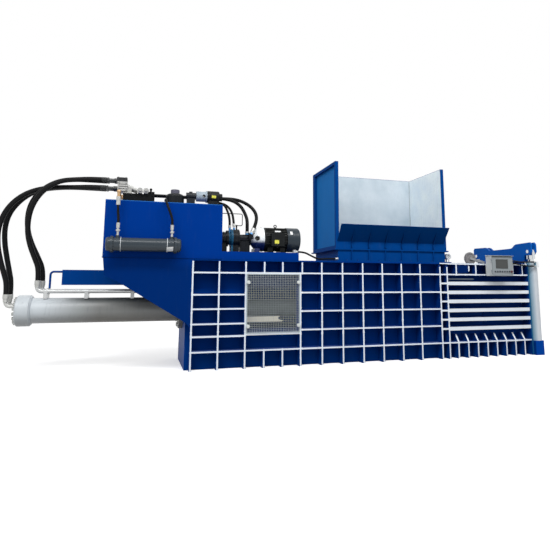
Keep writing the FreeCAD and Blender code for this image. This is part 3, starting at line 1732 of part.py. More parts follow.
def tension_plate():
    """Top plate of the bale channel, hinged at its rear, with ribs and the rocker bar."""
    half = half_inside - tension_side_gap
    x0, x1 = plate_hinge_station, tension_plate_end
    low = roof_under + roof_gap
    high = low + tension_skin
    rocker = yoke_bottom - fit_gap - rocker_radius
    skin = block(x0, x1, -half, half, low, high)
    barrel = rod(hinge_barrel_radius, hinge_point(-half), hinge_point(half))
    pieces = [skin, barrel]
    for y in tension_ribs:
        rib_profile = [
            Vector(x0, y - tension_rib / 2, low),
            Vector(x1 - 15, y - tension_rib / 2, low),
            Vector(x1 - 15, y - tension_rib / 2, rocker),
            Vector(tension_station - 120, y - tension_rib / 2, rocker),
            Vector(tension_station - 330, y - tension_rib / 2, body_height - 40),
            Vector(x0, y - tension_rib / 2, plate_hinge_height + 20),
        ]
        pieces.append(profile(rib_profile, Y * tension_rib))
    bar_start = Vector(tension_station, -half + 20, rocker)
    bar_end = Vector(tension_station, half - 20, rocker)
    pieces.append(rod(rocker_radius, bar_start, bar_end))
    web = block(tension_station - 15, tension_station + 15, -half + 20, half - 20, high, rocker)
    pieces.append(web)
    ear_gap = wheel_width / 2 + 2 + arm_plate + 2
    for y in (-ear_gap - 14, ear_gap):
        ear = [
            Vector(arm_pivot_station - 60, y, high),
            Vector(arm_pivot_station + 60, y, high),
            Vector(arm_pivot_station + 26, y, arm_pivot_height + 24),
            Vector(arm_pivot_station - 26, y, arm_pivot_height + 24),
        ]
        pieces.append(profile(ear, Y * 14))
    pin = rod(
        arm_pin,
        Vector(arm_pivot_station, -ear_gap - 14, arm_pivot_height),
        Vector(arm_pivot_station, ear_gap + 14, arm_pivot_height),
    )
    pieces.append(pin)
    pieces.append(rod(hinge_pin_radius, hinge_point(-plate_out - 12), hinge_point(plate_out + 12)))
    solid = fuse(pieces)
    slot = block(wheel_slot[0], wheel_slot[1], -ear_gap, ear_gap, low - 1, high + 1)
    return solid.cut(slot)


def wheel_arm():
    """Fork that carries the measuring wheel: two flats, a pivot tube and the wheel's axle."""
    inner = wheel_width / 2 + 2
    pivot = Vector(arm_pivot_station, 0, arm_pivot_height)
    centre = Vector(wheel_station, 0, wheel_height)
    line = centre - pivot
    side = Vector(-line.z, 0, line.x).normalize() * 20
    pieces = []
    for y in (-inner - arm_plate, inner):
        start = pivot + Y * y
        end = centre + Y * y
        flat = profile([start - side, end - side, end + side, start + side], Y * arm_plate)
        pieces += [flat, rod(20, start, start + Y * arm_plate), rod(20, end, end + Y * arm_plate)]
    reach = inner + arm_plate
    pieces.append(rod(20, pivot - Y * reach, pivot + Y * reach))
    pieces.append(rod(arm_pin, centre - Y * reach, centre + Y * reach))
    body = fuse(pieces)
    return body.cut(rod(arm_pin + fit_gap, pivot - Y * 60, pivot + Y * 60))


def length_wheel():
    """Toothed measuring wheel that rides on the bale."""
    centre = Vector(wheel_station, -wheel_width / 2, wheel_height)
    points = []
    for k in range(wheel_teeth):
        for share, radius in ((0.0, wheel_radius - 9), (0.3, wheel_radius), (0.6, wheel_radius)):
            angle = 2 * math.pi * (k + share) / wheel_teeth
            points.append(centre + Vector(math.cos(angle) * radius, 0, math.sin(angle) * radius))
    disc = profile(points, Y * wheel_width)
    hole = rod(arm_pin + fit_gap, centre - Y, centre + Y * (wheel_width + 1))
    dish = rod(wheel_radius - 30, centre - Y, centre + Y * 8)
    dish = dish.cut(rod(34, centre - Y, centre + Y * 9))
    return disc.cut(hole).cut(dish)


# ---------------------------------------------------------------- hose fittings
def hose_end(route, steps):
    """Turned steps in line with a route's first run: (radius, length) pairs outwards from its start."""
    start = Vector(*route[0])
    line = (start - Vector(*route[1])).normalize()
    pieces = []
    for radius, length in steps:
        pieces.append(rod(radius, start, start + line * length))
        start = start + line * length
    return pieces


def press_hose_fittings():
    """Ends of the four press hoses: stubs at the valves, elbows at the rear cap, nuts at the pipes."""
    solids = []
    sleeve = press_hose * crimp_factor / 2
    for route, face in (
        (pipe_hose_a, valve_start - 15),
        (pipe_hose_b, valve_start - 15),
        (cap_hose_a, valve_start),
        (cap_hose_b, valve_start),
    ):
        solids.append(fuse(hose_end(route, [(23, 100), (30, face - route[0][0] - 100)])))
    for route in (cap_hose_a, cap_hose_b):
        low = route[::-1]
        end = Vector(low[0][0], low[0][1], low[0][2] - 105)
        face = -barrel_rear - cap_flange - cap_cover
        port = Vector(face, end.y, end.z - elbow_bend)
        bend_start = Vector(end.x + elbow_bend, end.y, end.z - elbow_bend)
        pieces = hose_end(low, [(sleeve, 62), (33, 43)])
        pieces += [elbow(24, elbow_bend, bend_start, -X, Z), rod(24, port, bend_start)]
        pieces.append(rod(38, port, port - X * 8))
        solids.append(fuse(pieces))
    for route in (pipe_hose_a, pipe_hose_b):
        top = pipe_height + elbow_bend
        solids.append(fuse(hose_end(route[::-1], [(sleeve, 62), (36, route[-1][2] - top - 62)])))
    return solids


def pump_hose_fittings():
    """Ends of the pressure and drain hoses at the pipes, the pumps and the tank top."""
    solids = []
    sleeve = pump_hose * crimp_factor / 2
    for route in (pump_hose_a, pump_hose_b):
        solids.append(fuse(hose_end(route, [(sleeve, 44), (28, 26)])))
    pump = hydraulic_pump()
    below = block(700, 990, motor_y - 220, motor_y + 200, platform_top, pump_port_top - 20)
    solids.append(fuse(hose_end(pump_hose_a[::-1], [(sleeve, 62), (24, 50)])).cut(below).cut(pump))
    solids.append(fuse(hose_end(pump_hose_b[::-1], [(sleeve, 30), (30, 40)])).cut(pump))
    small = drain_hose * crimp_factor / 2
    for route in (drain_hose_a, drain_hose_b):
        start = Vector(*route[0])
        line = (start - Vector(*route[1])).normalize()
        corner = start + line * 52
        riser = rod(13, Vector(corner.x, corner.y, tank_top), corner)
        ball = Part.makeSphere(19, corner)
        solids.append(fuse([riser, ball, rod(13, corner, start), rod(small, start + line * 30, start)]))
    for route in (drain_hose_a, drain_hose_b):
        drop = route[-1][2] - motor_height - 80
        solids.append(fuse(hose_end(route[::-1], [(small, 40), (17, drop - 40)])).cut(pump))
    return solids


def cooler_hose_fittings():
    """Steel adaptors above and below the cooler's two hoses."""
    solids = []
    sleeve = cooler_hose * crimp_factor / 2
    boss = cooler_axis(0).z + cooler_radius + 26
    for route in (cooler_hose_a, cooler_hose_b):
        end = Vector(*route[-1])
        steps = [(sleeve + 3, 70), (16, 20), (24, 26)]
        rest = end.z - boss - sum(length for radius, length in steps)
        solids.append(fuse(hose_end(route[::-1], steps + [(15, rest)])))
    start = Vector(*cooler_hose_a[0])
    top = Vector(start.x, start.y, manifold_top - 60)
    manifold_side = Vector(start.x, line_y - manifold_width / 2, top.z)
    pieces = [rod(27, start, start + Z * 120), rod(20, start + Z * 120, top)]
    pieces.append(Part.makeSphere(28, top))
    pieces.append(rod(20, top, Vector(start.x, manifold_side.y + 60, top.z)))
    pieces.append(
        block(start.x - 24, manifold_start, manifold_side.y, manifold_side.y + 60, top.z - 30, top.z + 30)
    )
    solids.append(fuse(pieces))
    start = Vector(*cooler_hose_b[0])
    corner = start + Y * 60
    riser = rod(15, Vector(corner.x, corner.y, tank_top), corner)
    bend = Part.makeSphere(21, corner)
    solids.append(fuse([riser, bend, rod(15, corner, start), rod(sleeve, corner - Y * 22, start)]))
    return solids


def tension_hose_fittings():
    """Bulkhead angle behind the control box and the nuts at the cylinder's valve block."""
    x0 = tension_hose_a[0][0] - 44
    y = tension_hose_a[0][1]
    plate_body = block(x0, x0 + 10, y - 26, y + 50, body_height, 1630)
    foot = block(x0 - 50, x0 + 10, y + 22, y + 50, body_height, body_height + 10)
    pieces = [plate_body, foot]
    sleeve = tension_hose * crimp_factor / 2
    for route in (tension_hose_a, tension_hose_b):
        start = Vector(*route[0])
        inner = Vector(x0 - 16, start.y, start.z)
        pieces.append(rod(10, inner, start))
        pieces.append(rod(sleeve, Vector(x0 + 14, start.y, start.z), start))
        pieces.append(rod(15, inner, inner + X * 14))
    solids = [fuse(pieces)]
    for route in (tension_hose_a, tension_hose_b):
        gap = tension_station - 25 - route[-1][0]
        solids.append(fuse(hose_end(route[::-1], [(sleeve, gap - 8), (15, 8)])))
    return solids


def cable_glands():
    """Glands of the motor cable at the platform and at the throat."""
    solids = []
    start = Vector(*motor_cable[0])
    x = platform_end - 46
    stand = block(x, x + 34, start.y - 32, start.y + 32, platform_top, start.z + 28)
    face = Vector(x + 34, start.y, start.z)
    solids.append(fuse([stand, rod(22, face, face + X * 16), rod(18, face + X * 16, start)]))
    end = Vector(*motor_cable[-1])
    wall = Vector(feed_start - neck_wall, end.y, end.z)
    solids.append(fuse([rod(22, wall - X * 14, wall), rod(18, end, wall - X * 14)]))
    return solids


def hose_fittings():
    """All hose ends and adaptors, one solid each."""
    solids = press_hose_fittings() + pump_hose_fittings() + cooler_hose_fittings()
    return group(solids + tension_hose_fittings() + cable_glands())


# ---------------------------------------------------------------- write every node
def save_pair(name, first, second, diameter):
    """Writes two hoses that run side by side as one node."""
    save(name, group([hose(name + " a", first, diameter), hose(name + " b", second, diameter)]))


def main():
    os.makedirs("parts", exist_ok=True)
    save("near_side_frame", press_side(True))
    save("far_side_frame", press_side(False))
    save("near_exit_side", exit_side(True))
    save("far_exit_side", exit_side(False))
    save("base_frame", base_frame())
    save("rear_plate", rear_plate())
    save("roof_deck", roof_deck())
    save("shear_knife", shear_knife())
    save("window_mesh", window_mesh())
    save("frame_bolts", frame_bolts())
    save("hopper_shell", hopper_shell())
    save("hopper_lining", hopper_lining())
    save("hopper_neck", hopper_neck())
    save("tank_support", tank_support())
    save("oil_tank", oil_tank())
    save("service_beam", service_beam())
    save("oil_cooler", oil_cooler())
    save("main_barrel", group([main_barrel(), main_gland()]))
    save("rear_cap", rear_cap())
    save("cap_bolts", cap_bolt_set())
    save("steel_pipes", steel_pipes())
    save("manifold_base", manifold_base())
    save("valve_body", valve_body())
    save("return_filter", return_filter())
    save("small_motor", small_motor())
    save("small_bell", small_bell())
    save("small_rotor", small_rotor())
    save("motor_platform", motor_platform())
    save("main_motor", main_motor())
    save("terminal_box", terminal_box())
    save("fan_cover", fan_cover())
    save("bell_housing", bell_housing())
    save("hydraulic_pump", hydraulic_pump())
    save("motor_rotor", group([motor_rotor(), motor_fan()]))
    save("control_box", group([control_box(), level_sensor()]))
    save("control_door", control_door())
    save("screen", screen())
    stations = panel_stations()
    for k in range(3):
        save(f"push_button_{k + 1}", push_button(stations[4 + k], button_radius, 10))
    save("stop_button", push_button(stations[7], stop_radius, 18))
    save("ram", ram())
    save("ram_knife", ram_knife())
    save("thrust_tube", thrust_tube())
    save("piston_rod", piston_rod())
    save("tension_tubes", group([tension_tube(), mirrored(tension_tube())]))
    save("tension_rods", group([tension_rod(), mirrored(tension_rod()), yoke_pin(), mirrored(yoke_pin())]))
    save("tension_yoke", tension_yoke())
    save("tension_plate", tension_plate())
    save("wheel_arm", wheel_arm())
    save("length_wheel", length_wheel())
    save("hose_fittings", hose_fittings())
    save("pressure_pipes", pressure_pipes())
    save_pair("cap_hoses", cap_hose_a, cap_hose_b, press_hose)
    save_pair("pipe_hoses", pipe_hose_a, pipe_hose_b, press_hose)
    save_pair("pump_hoses", pump_hose_a, pump_hose_b, pump_hose)
    save_pair("drain_hoses", drain_hose_a, drain_hose_b, drain_hose)
    save_pair("cooler_hoses", cooler_hose_a, cooler_hose_b, cooler_hose)
    save_pair("tension_hoses", tension_hose_a, tension_hose_b, tension_hose)
    save("motor_cable", hose("motor cable", motor_cable, cable))


main()
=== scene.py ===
# %% [markdown]
# # A channel baler for recycling, dressed on top of a fixed CAD frame
#
# The CAD model gives every steel piece its true shape. This script adds what a camera sees on
# top of it: hoses that hang in smooth curves, a fine wire mesh, bands and plates, paint, rubber,
# bare sheet and light. All lengths are metres. The row frame has +X towards the bale exit, +Y away
# from the control box and +Z up.

import math

import bpy
import numpy as np
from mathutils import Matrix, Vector


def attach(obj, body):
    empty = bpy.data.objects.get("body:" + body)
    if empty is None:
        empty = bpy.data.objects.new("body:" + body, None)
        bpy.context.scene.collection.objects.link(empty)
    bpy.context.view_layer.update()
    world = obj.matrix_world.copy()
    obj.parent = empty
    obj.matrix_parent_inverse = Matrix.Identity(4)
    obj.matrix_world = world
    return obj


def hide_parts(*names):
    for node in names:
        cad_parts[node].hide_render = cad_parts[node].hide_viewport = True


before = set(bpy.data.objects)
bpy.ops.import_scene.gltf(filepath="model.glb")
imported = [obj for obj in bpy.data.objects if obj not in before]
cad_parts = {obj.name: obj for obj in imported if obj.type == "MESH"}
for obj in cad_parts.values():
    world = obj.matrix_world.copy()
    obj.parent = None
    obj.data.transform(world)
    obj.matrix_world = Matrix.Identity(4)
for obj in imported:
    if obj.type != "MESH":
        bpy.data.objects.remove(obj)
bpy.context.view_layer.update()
print("CAD nodes:", len(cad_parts))

# %% [markdown]
# ## Stations
#
# The machine was drawn with stations that count from the rear face of the press body. The frame's
# origin lies midway along that body, so one subtraction turns a station into X.

# %%
BASE_LENGTH = 5.814
HALF_BODY = 0.750


def station(s):
    """Row-frame X of a station.

    Formula: X = s - L / 2, with L the length of the base.
    """
    return s - BASE_LENGTH / 2


# %% [markdown]
# ## Camera
#
# The photographer stood about 7.2 m in front of the near side with the lens 1.16 m above the
# floor. The lens is 32.5 mm on a 36 mm sensor, it looks 17.4 degrees towards the exit and 8.5
# degrees up, and the picture was cut out of a larger frame, which the two shifts repeat.

# %%
scene = bpy.context.scene
camera_data = bpy.data.cameras.new("camera")
camera_data.sensor_width = 36.0
camera_data.lens = 32.49
camera_data.shift_x = -0.0475
camera_data.shift_y = -0.1133
camera_data.clip_start, camera_data.clip_end = 0.05, 200.0
camera = bpy.data.objects.new("camera", camera_data)
scene.collection.objects.link(camera)
scene.camera = camera
camera.location = (station(-0.643), -7.940, 1.161)
yaw, pitch = math.radians(17.44), math.radians(8.46)
look = Vector((math.sin(yaw) * math.cos(pitch), math.cos(yaw) * math.cos(pitch), math.sin(pitch)))
camera.rotation_euler = look.to_track_quat("-Z", "Y").to_euler()


# %% [markdown]
# ## Node helpers
#
# Every finish is a tree of nodes. A thin wrapper keeps the trees short to write: it adds a node,
# joins two sockets, and does arithmetic and colour mixing in one call.

# %%
class Graph:
    """Adds nodes and links to one node tree."""

    def __init__(self, tree):
        self.nodes = tree.nodes
        self.links = tree.links

    def add(self, kind, **settings):
        """A node; settings that start with in_ are values of its input sockets."""
        node = self.nodes.new(kind)
        for key, value in settings.items():
            if key.startswith("in_"):
                node.inputs[key[3:].replace("_", " ")].default_value = value
            else:
                setattr(node, key, value)
        return node

    def join(self, a, b):
        self.links.new(a, b)

    def feed(self, socket, value):
        """Put a number, a colour or another node's output on a socket."""
        if isinstance(value, (int, float)):
            socket.default_value = value
        elif isinstance(value, tuple):
            socket.default_value = (*value, 1.0)
        else:
            self.links.new(value, socket)

    def math(self, operation, a, b=0.0, clamp=False):
        node = self.nodes.new("ShaderNodeMath")
        node.operation = operation
        node.use_clamp = clamp
        self.feed(node.inputs[0], a)
        self.feed(node.inputs[1], b)
        return node.outputs[0]

    def mix(self, factor, a, b):
        node = self.nodes.new("ShaderNodeMix")
        node.data_type = "RGBA"
        for socket, value in ((node.inputs[0], factor), (node.inputs[6], a), (node.inputs[7], b)):
            self.feed(socket, value)
        return node.outputs[2]

    def times(self, a, b):
        """Product of two values."""
        return self.math("MULTIPLY", a, b)

    def both(self, *masks):
        """Product of several masks."""
        out = masks[0]
        for mask in masks[1:]:
            out = self.times(out, mask)
        return out

    def either(self, *masks):
        """Largest of several masks."""
        out = masks[0]
        for mask in masks[1:]:
            out = self.math("MAXIMUM", out, mask)
        return out

    def above(self, value, limit):
        """1 where the value is greater than the limit."""
        return self.math("GREATER_THAN", value, limit)

    def below(self, value, limit):
        """1 where the value is less than the limit."""
        return self.math("LESS_THAN", value, limit)

    def between(self, value, low, high):
        """1 where low < value < high."""
        return self.both(self.above(value, low), self.below(value, high))

    def near_any(self, value, centres, reach):
        """1 where the value lies within reach of one of the centres."""
        hits = 0.0
        for centre in centres:
            hit = self.math("COMPARE", value, centre)
            hit.node.inputs[2].default_value = reach
            hits = self.math("MAXIMUM", hits, hit)
        return hits

    def ramp(self, value, low, high):
        """0 at low, 1 at high and straight between them."""
        return self.math("DIVIDE", self.math("SUBTRACT", value, low), high - low, True)

    def texture(self, kind, **settings):
        """A texture node that reads the object's coordinates."""
        node = self.add(kind, **settings)
        self.join(self.add("ShaderNodeTexCoord").outputs["Object"], node.inputs["Vector"])
        return node

    def bump(self, shader, height, strength, distance):
        """Bend a shader's normal by a height."""
        node = self.add("ShaderNodeBump", in_Strength=strength, in_Distance=distance)
        self.join(height, node.inputs["Height"])
        self.join(node.outputs[0], shader.inputs["Normal"])


def linear(r, g, b):
    """Linear colour from 8-bit sRGB.

    Formula: c <= 0.04045 gives c / 12.92, else ((c + 0.055) / 1.055) ** 2.4.
    """
    c = np.array([r, g, b], float) / 255.0
    out = np.where(c <= 0.04045, c / 12.92, ((c + 0.055) / 1.055) ** 2.4)
    return tuple(float(x) for x in out)


# %% [markdown]
# ## Shared fields
#
# Paint on a big welded machine isn't even: it has broad patches, fine orange peel, a film of dust
# on faces that look up, and thin runs that point down. One node group works these out from the
# object's coordinates and its normal, and every material takes its own share of them. The group
# gives values only, so the shaders themselves stay outside.

# %%
def value_group(name, outputs):
    """A shared node group that takes Scale and gives the named values."""
    group = bpy.data.node_groups.new(name, "ShaderNodeTree")
    scale = group.interface.new_socket(name="Scale", in_out="INPUT", socket_type="NodeSocketFloat")
    scale.default_value = 1.0
    for out in outputs:
        group.interface.new_socket(name=out, in_out="OUTPUT", socket_type="NodeSocketFloat")
    g = Graph(group)
    source = g.add("NodeGroupInput")
    sink = g.add("NodeGroupOutput")
    coords = g.add("ShaderNodeTexCoord")
    return group, g, source, sink, coords


def make_paint_field():
    """Patch (0.4 m blots), Grain (10 mm), Peel (3 mm), Up (dust on level faces), Run (drips).

    Formula: Up = clamp(nz)^2 x noise; Run is noise squeezed eight times along X and Y.
    """
    names = ["Patch", "Grain", "Peel", "Up", "Run"]
    group, g, source, sink, coords = value_group("paint_field", names)
    place = coords.outputs["Object"]

    def noise(scale, detail, where):
        node = g.add("ShaderNodeTexNoise", in_Detail=detail)
        g.join(where, node.inputs["Vector"])
        g.join(g.times(source.outputs["Scale"], scale), node.inputs["Scale"])
        return node.outputs["Fac"]

    g.join(noise(2.4, 3.0, place), sink.inputs["Patch"])
    g.join(noise(90.0, 3.0, place), sink.inputs["Grain"])
    g.join(noise(330.0, 2.0, place), sink.inputs["Peel"])
    normal = g.add("ShaderNodeSeparateXYZ")
    g.join(coords.outputs["Normal"], normal.inputs[0])
    level = g.math("MAXIMUM", normal.outputs["Z"], 0.0)
    g.join(g.both(level, level, noise(9.0, 4.0, place)), sink.inputs["Up"])
    stretch = g.add("ShaderNodeMapping")
    stretch.inputs["Scale"].default_value = (8.0, 8.0, 1.0)
    g.join(place, stretch.inputs["Vector"])
    g.join(noise(3.0, 3.0, stretch.outputs["Vector"]), sink.inputs["Run"])
    return group


PAINT_FIELD = make_paint_field()


def make_axes():
    """Coordinates and normal of the surface as six values."""
    names = ["X", "Y", "Z", "Nx", "Ny", "Nz"]
    group, g, source, sink, coords = value_group("place_and_way", names)
    for output, row in (("Object", names[:3]), ("Normal", names[3:])):
        split = g.add("ShaderNodeSeparateXYZ")
        g.join(coords.outputs[output], split.inputs[0])
        for axis, name in zip("XYZ", row):
            g.join(split.outputs[axis], sink.inputs[name])
    return group


AXES = make_axes()


# %% [markdown]
# ## Finishes
#
# A finish starts as one colour, and masks lay other colours over it. The function below adds the
# shared unevenness: darker blots, dust on level faces, faint runs, and a bump that bends
# reflections as rolled plate does. Dark blue enamel on this machine hardly mirrors the sky, so its
# specular level is low, and it is a plain number on the shader.

# %%
BLOT_VALUE = 0.72
GRAIN_SPREAD = 0.12
STAIN = (0.10, 0.12, 0.14)
DUST = linear(150, 148, 140)


def new_material(name):
    """A material with an empty tree, its principled shader and its output."""
    material = bpy.data.materials.new(name)
    material.use_nodes = True
    material.node_tree.nodes.clear()
    g = Graph(material.node_tree)
    shader = g.add("ShaderNodeBsdfPrincipled")
    out = g.add("ShaderNodeOutputMaterial")
    g.join(shader.outputs[0], out.inputs[0])
    return material, g, shader


def shared(g, group, scale=1.0):
    """A shared node group's outputs inside a material."""
    node = g.add("ShaderNodeGroup", node_tree=group)
    node.inputs["Scale"].default_value = scale
    return node.outputs


def lay(g, shader, colour, rough=0.4, specular=0.15, tint=(1.0, 1.0, 1.0), blots=0.25, dust=0.35,
        runs=0.1, ripple=0.15, peel=0.04, metallic=0.0, scale=1.0):
    """Uneven paint over a colour: blots darken it, dust greys level faces, runs streak it."""
    shader.inputs["Metallic"].default_value = metallic
    shader.inputs["Specular IOR Level"].default_value = specular
    shader.inputs["Specular Tint"].default_value = (*tint, 1.0)
    f = shared(g, PAINT_FIELD, scale)
    dark = g.add("ShaderNodeHueSaturation", in_Value=BLOT_VALUE)
    g.feed(dark.inputs["Color"], colour)
    tone = g.mix(g.times(g.ramp(f["Patch"], 0.4, 0.75), blots), colour, dark.outputs[0])
    tone = g.mix(g.times(g.ramp(f["Run"], 0.55, 0.8), runs), tone, STAIN)
    tone = g.mix(g.times(f["Up"], dust), tone, DUST)
    g.join(tone, shader.inputs["Base Color"])
    spread = g.times(f["Grain"], GRAIN_SPREAD)
    g.join(g.math("ADD", rough - GRAIN_SPREAD / 2, spread), shader.inputs["Roughness"])
    wave = g.math("ADD", g.times(f["Patch"], ripple), g.times(f["Peel"], peel))
    g.bump(shader, wave, 0.5, 0.01)


def paint(name, rgb, layers=None, **settings):
    """A coat of one colour; layers gives pairs of a mask and the colour that it lays on top."""
    material, g, shader = new_material(name)
    colour = linear(*rgb)
    if layers:
        for mask, cover in layers(g, shared(g, AXES)):
            colour = g.mix(mask, colour, linear(*cover) if isinstance(cover, tuple) else cover)
    lay(g, shader, colour, **settings)
    return material


def span(g, a, start, end):
    """1 between two stations."""
    return g.between(a["X"], station(start), station(end))


# %% [markdown]
# ## Body paint
#
# The press body is dark blue inside its grid of ribs, and the outer edges of the ribs were rolled
# white by hand. A rib's outer edge is the only surface that far from the middle plane, so the mask
# is a test on |Y|, and a second test keeps a narrow blue margin on both sides of every stripe. The
# top strip over the press stays blue, and the end post is blue with painted shade on its press side
# and a painted teal sheen towards the tension cylinder. The slanted edges of the low exit ribs are
# white, and the lug plate is blue but for its right edge.

# %%
BLUE_GLOSS = (0.15, 0.45, 1.0)
UPRIGHTS = [0.014, 0.387, 0.774, 1.052, 1.330, 1.608, 1.635, 1.948, 2.288, 2.628, 2.968, 3.308,
            3.648, 4.021, 4.156, 4.337, 4.721, 5.478, 5.676] + [4.321 + 0.188 * k for k in range(8)]
LEVELS = [0.255, 0.462, 0.481, 0.527, 0.637, 0.798, 0.845, 1.046, 1.071, 1.358, 1.536]
BARS = [0.477 + 0.147 * k for k in range(6)]
STRIPE_HALF = 0.011
BAR_HALF = 0.029
BARS_START = 4.007
EXIT_START = 4.020
EDGE_SIDE = HALF_BODY - 0.0015
TOP_STRIP = 1.521
GUSSET_TOP = 0.6
POST = (5.7845, 5.8135)
FOOT_START = 5.8145
LUG_SPAN, LUG_EDGE = (4.361, 4.601), 4.577


def body_layers(g, a):
    """White rib edges, the lug plate, the short bar, the painted shade and sheen across the end
    post, and the cylinder's foot.

    Formula: edge = |Y| > 0.7485 within 11 mm of a rib's middle or 29 mm of a bar's, below the top
    strip and before the end post; slant is the outward and upward faces of the exit ribs.
    """
    side = g.math("ABSOLUTE", a["Y"])
    outwards = g.times(a["Ny"], g.math("SIGN", a["Y"]))
    exit_side = g.above(a["X"], station(EXIT_START))
    below_top = g.either(g.below(a["Z"], TOP_STRIP), exit_side)
    before_post = g.below(a["X"], station(POST[0]))
    on_rib = g.either(
        g.near_any(a["X"], [station(s) for s in UPRIGHTS], STRIPE_HALF),
        g.near_any(a["Z"], LEVELS, STRIPE_HALF),
        g.both(g.near_any(a["Z"], BARS, BAR_HALF), g.above(a["X"], station(BARS_START))),
    )
    edge = g.both(g.above(side, EDGE_SIDE), below_top, before_post, on_rib)
    slant = g.both(g.above(outwards, 0.3), g.above(a["Nz"], 0.2), exit_side, before_post,
                   g.below(a["Z"], GUSSET_TOP))
    lug = g.both(span(g, a, *LUG_SPAN), g.between(side, 0.7, 0.7425),
                 g.between(a["Z"], 1.372, 1.538))
    lug_edge = g.both(lug, g.either(g.above(a["X"], station(LUG_EDGE)), g.above(a["Nx"], 0.3)))
    short_bar = g.both(g.between(side, 0.640, 0.660), g.between(a["Z"], 1.270, 1.300),
                       g.above(outwards, 0.9), exit_side)
    # Painted shade on the press side of the end post, turning into a painted teal sheen towards the
    # tension cylinder.
    across = g.ramp(a["X"], station(5.785), station(5.812))
    return [
        (g.ramp(a["Z"], 0.2, 1.5), (2, 52, 130)),
        (lug, (2, 34, 92)),
        (short_bar, (150, 166, 180)),
        (g.either(edge, slant, lug_edge), (230, 237, 245)),
        (span(g, a, *POST), g.mix(across, linear(2, 50, 112), linear(40, 112, 150))),
        (g.above(a["X"], station(FOOT_START)), (2, 66, 158)),
    ]


# %% [markdown]
# ## Layers of the other finishes
#
# Each function below names the places where one paint, or a painted light or shade, covers
# another. Places along the machine are stations, heights are above the floor, and a normal's part
# tells which way a face looks.

# %%
def bolt_layers(g, a):
    """The four bolts round the window are bare zinc."""
    window = g.both(span(g, a, 0.760, 1.620), g.below(a["Y"], -0.74))
    return [(window, (214, 219, 218))]


def tank_layers(g, a):
    """Painted shade darkens the stand under the tank, a weld seam runs between the two, and a
    painted highlight lies along the top rim of the tank's front.

    Formula: the stand's painted shade is a ramp of Z over the 0.22 m at the seam; seam = |Z -
    1.5495| < 0.004.
    """
    # Painted shade: the stand darkens below the tank.
    stand_shade = g.ramp(a["Z"], 1.62, 1.40)
    seam = g.both(g.between(a["Z"], 1.5455, 1.5535), g.below(a["Y"], -0.5))
    # Painted highlight: a paler band along the top rim of the tank's front.
    rim = g.both(g.above(a["Z"], 2.336), g.below(a["Ny"], -0.5))
    return [
        (stand_shade, (1, 41, 108)),
        (g.times(seam, 0.75), (1, 22, 66)),
        (g.times(rim, 0.5), (60, 130, 200)),
    ]


def hopper_layers(g, a):
    """Painted reflection makes the recessed side panel paler than the frame round it; painted shade
    darkens the lip's downward faces and the sides of the gussets under it.
    """
    # Painted reflection: the recessed side panel is drawn paler.
    panel_reflection = g.both(span(g, a, 2.305, 2.3145), g.below(a["Nx"], -0.7), g.above(a["Z"], 1.80))
    # Painted shade on the downward faces of the lip.
    lip_shade = g.both(g.below(a["Nz"], -0.3), g.below(a["Y"], -0.55))
    # Painted shade on the sides of the gussets under the lip.
    gusset_shade = g.both(g.above(g.math("ABSOLUTE", a["Nx"]), 0.7), g.below(a["Y"], -0.56),
                    g.between(a["Z"], 1.78, 2.13), span(g, a, 2.35, 4.23))
    return [(panel_reflection, (30, 112, 184)), (lip_shade, (2, 56, 116)), (gusset_shade, (1, 26, 76))]


def barrel_layers(g, a):
    """Silvery at the rear cap and grey towards the press; a painted shadow darkens the top towards
    the press, and painted shade darkens the underside.
    """
    along = g.ramp(a["X"], station(-1.98), station(-1.25))
    # Painted shadow on the top of the barrel under the tank and pipes.
    top_shadow = g.both(g.ramp(a["Nz"], 0.55, 0.85), g.ramp(a["X"], station(-1.75), station(-1.4)))
    # Painted shade on the underside, paler at the rear cap and warmer towards the press.
    low = g.ramp(a["Nz"], -0.1, -0.9)
    return [
        (along, (140, 142, 140)),
        (top_shadow, (70, 76, 78)),
        (low, g.mix(along, linear(164, 168, 170), linear(112, 109, 102))),
    ]


def tension_layers(g, a):
    """A whiter head, and painted shade with a painted blue reflection of the press on the side that
    faces it.
    """
    head = g.above(a["Z"], 1.489)
    # Painted shade and painted reflection: the side that faces the press is darker and bluer.
    shade_and_reflection = g.ramp(a["Nx"], -0.3, -0.95)
    return [(head, (232, 236, 238)), (shade_and_reflection, (110, 150, 172))]


def bell_layers(g, a):
    """The lower half and the foot are painted with the platform."""
    return [(g.ramp(a["Z"], 1.860, 1.815), (14, 32, 84))]


def small_bell_layers(g, a):
    """The pump and the foot behind the small bell are black."""
    return [(g.below(a["X"], station(0.061)), (20, 26, 32))]


def pump_layers(g, a):
    """A blue-green suction flange."""
    ring = g.both(span(g, a, 0.556, 0.616), g.below(a["Z"], 2.1))
    return [(ring, (26, 86, 118))]


VALVE_FOOT = 2.535
VALVE_PITCH = 0.034


def valve_layers(g, a):
    """Dark joints between the stacked plates; the adaptor on top is blackened.

    Formula: joint = fract((Z - 2.535) / 0.034) > 0.72, only on the faces of the block.
    """
    layer = g.math("FRACT", g.math("DIVIDE", g.math("SUBTRACT", a["Z"], VALVE_FOOT), VALVE_PITCH))
    block = g.both(g.between(a["Z"], 2.537, 2.66), span(g, a, -1.05, -0.929))
    top = g.above(a["Z"], 2.6725)
    return [(g.both(g.above(layer, 0.72), block), (24, 24, 26)), (top, (18, 19, 21))]


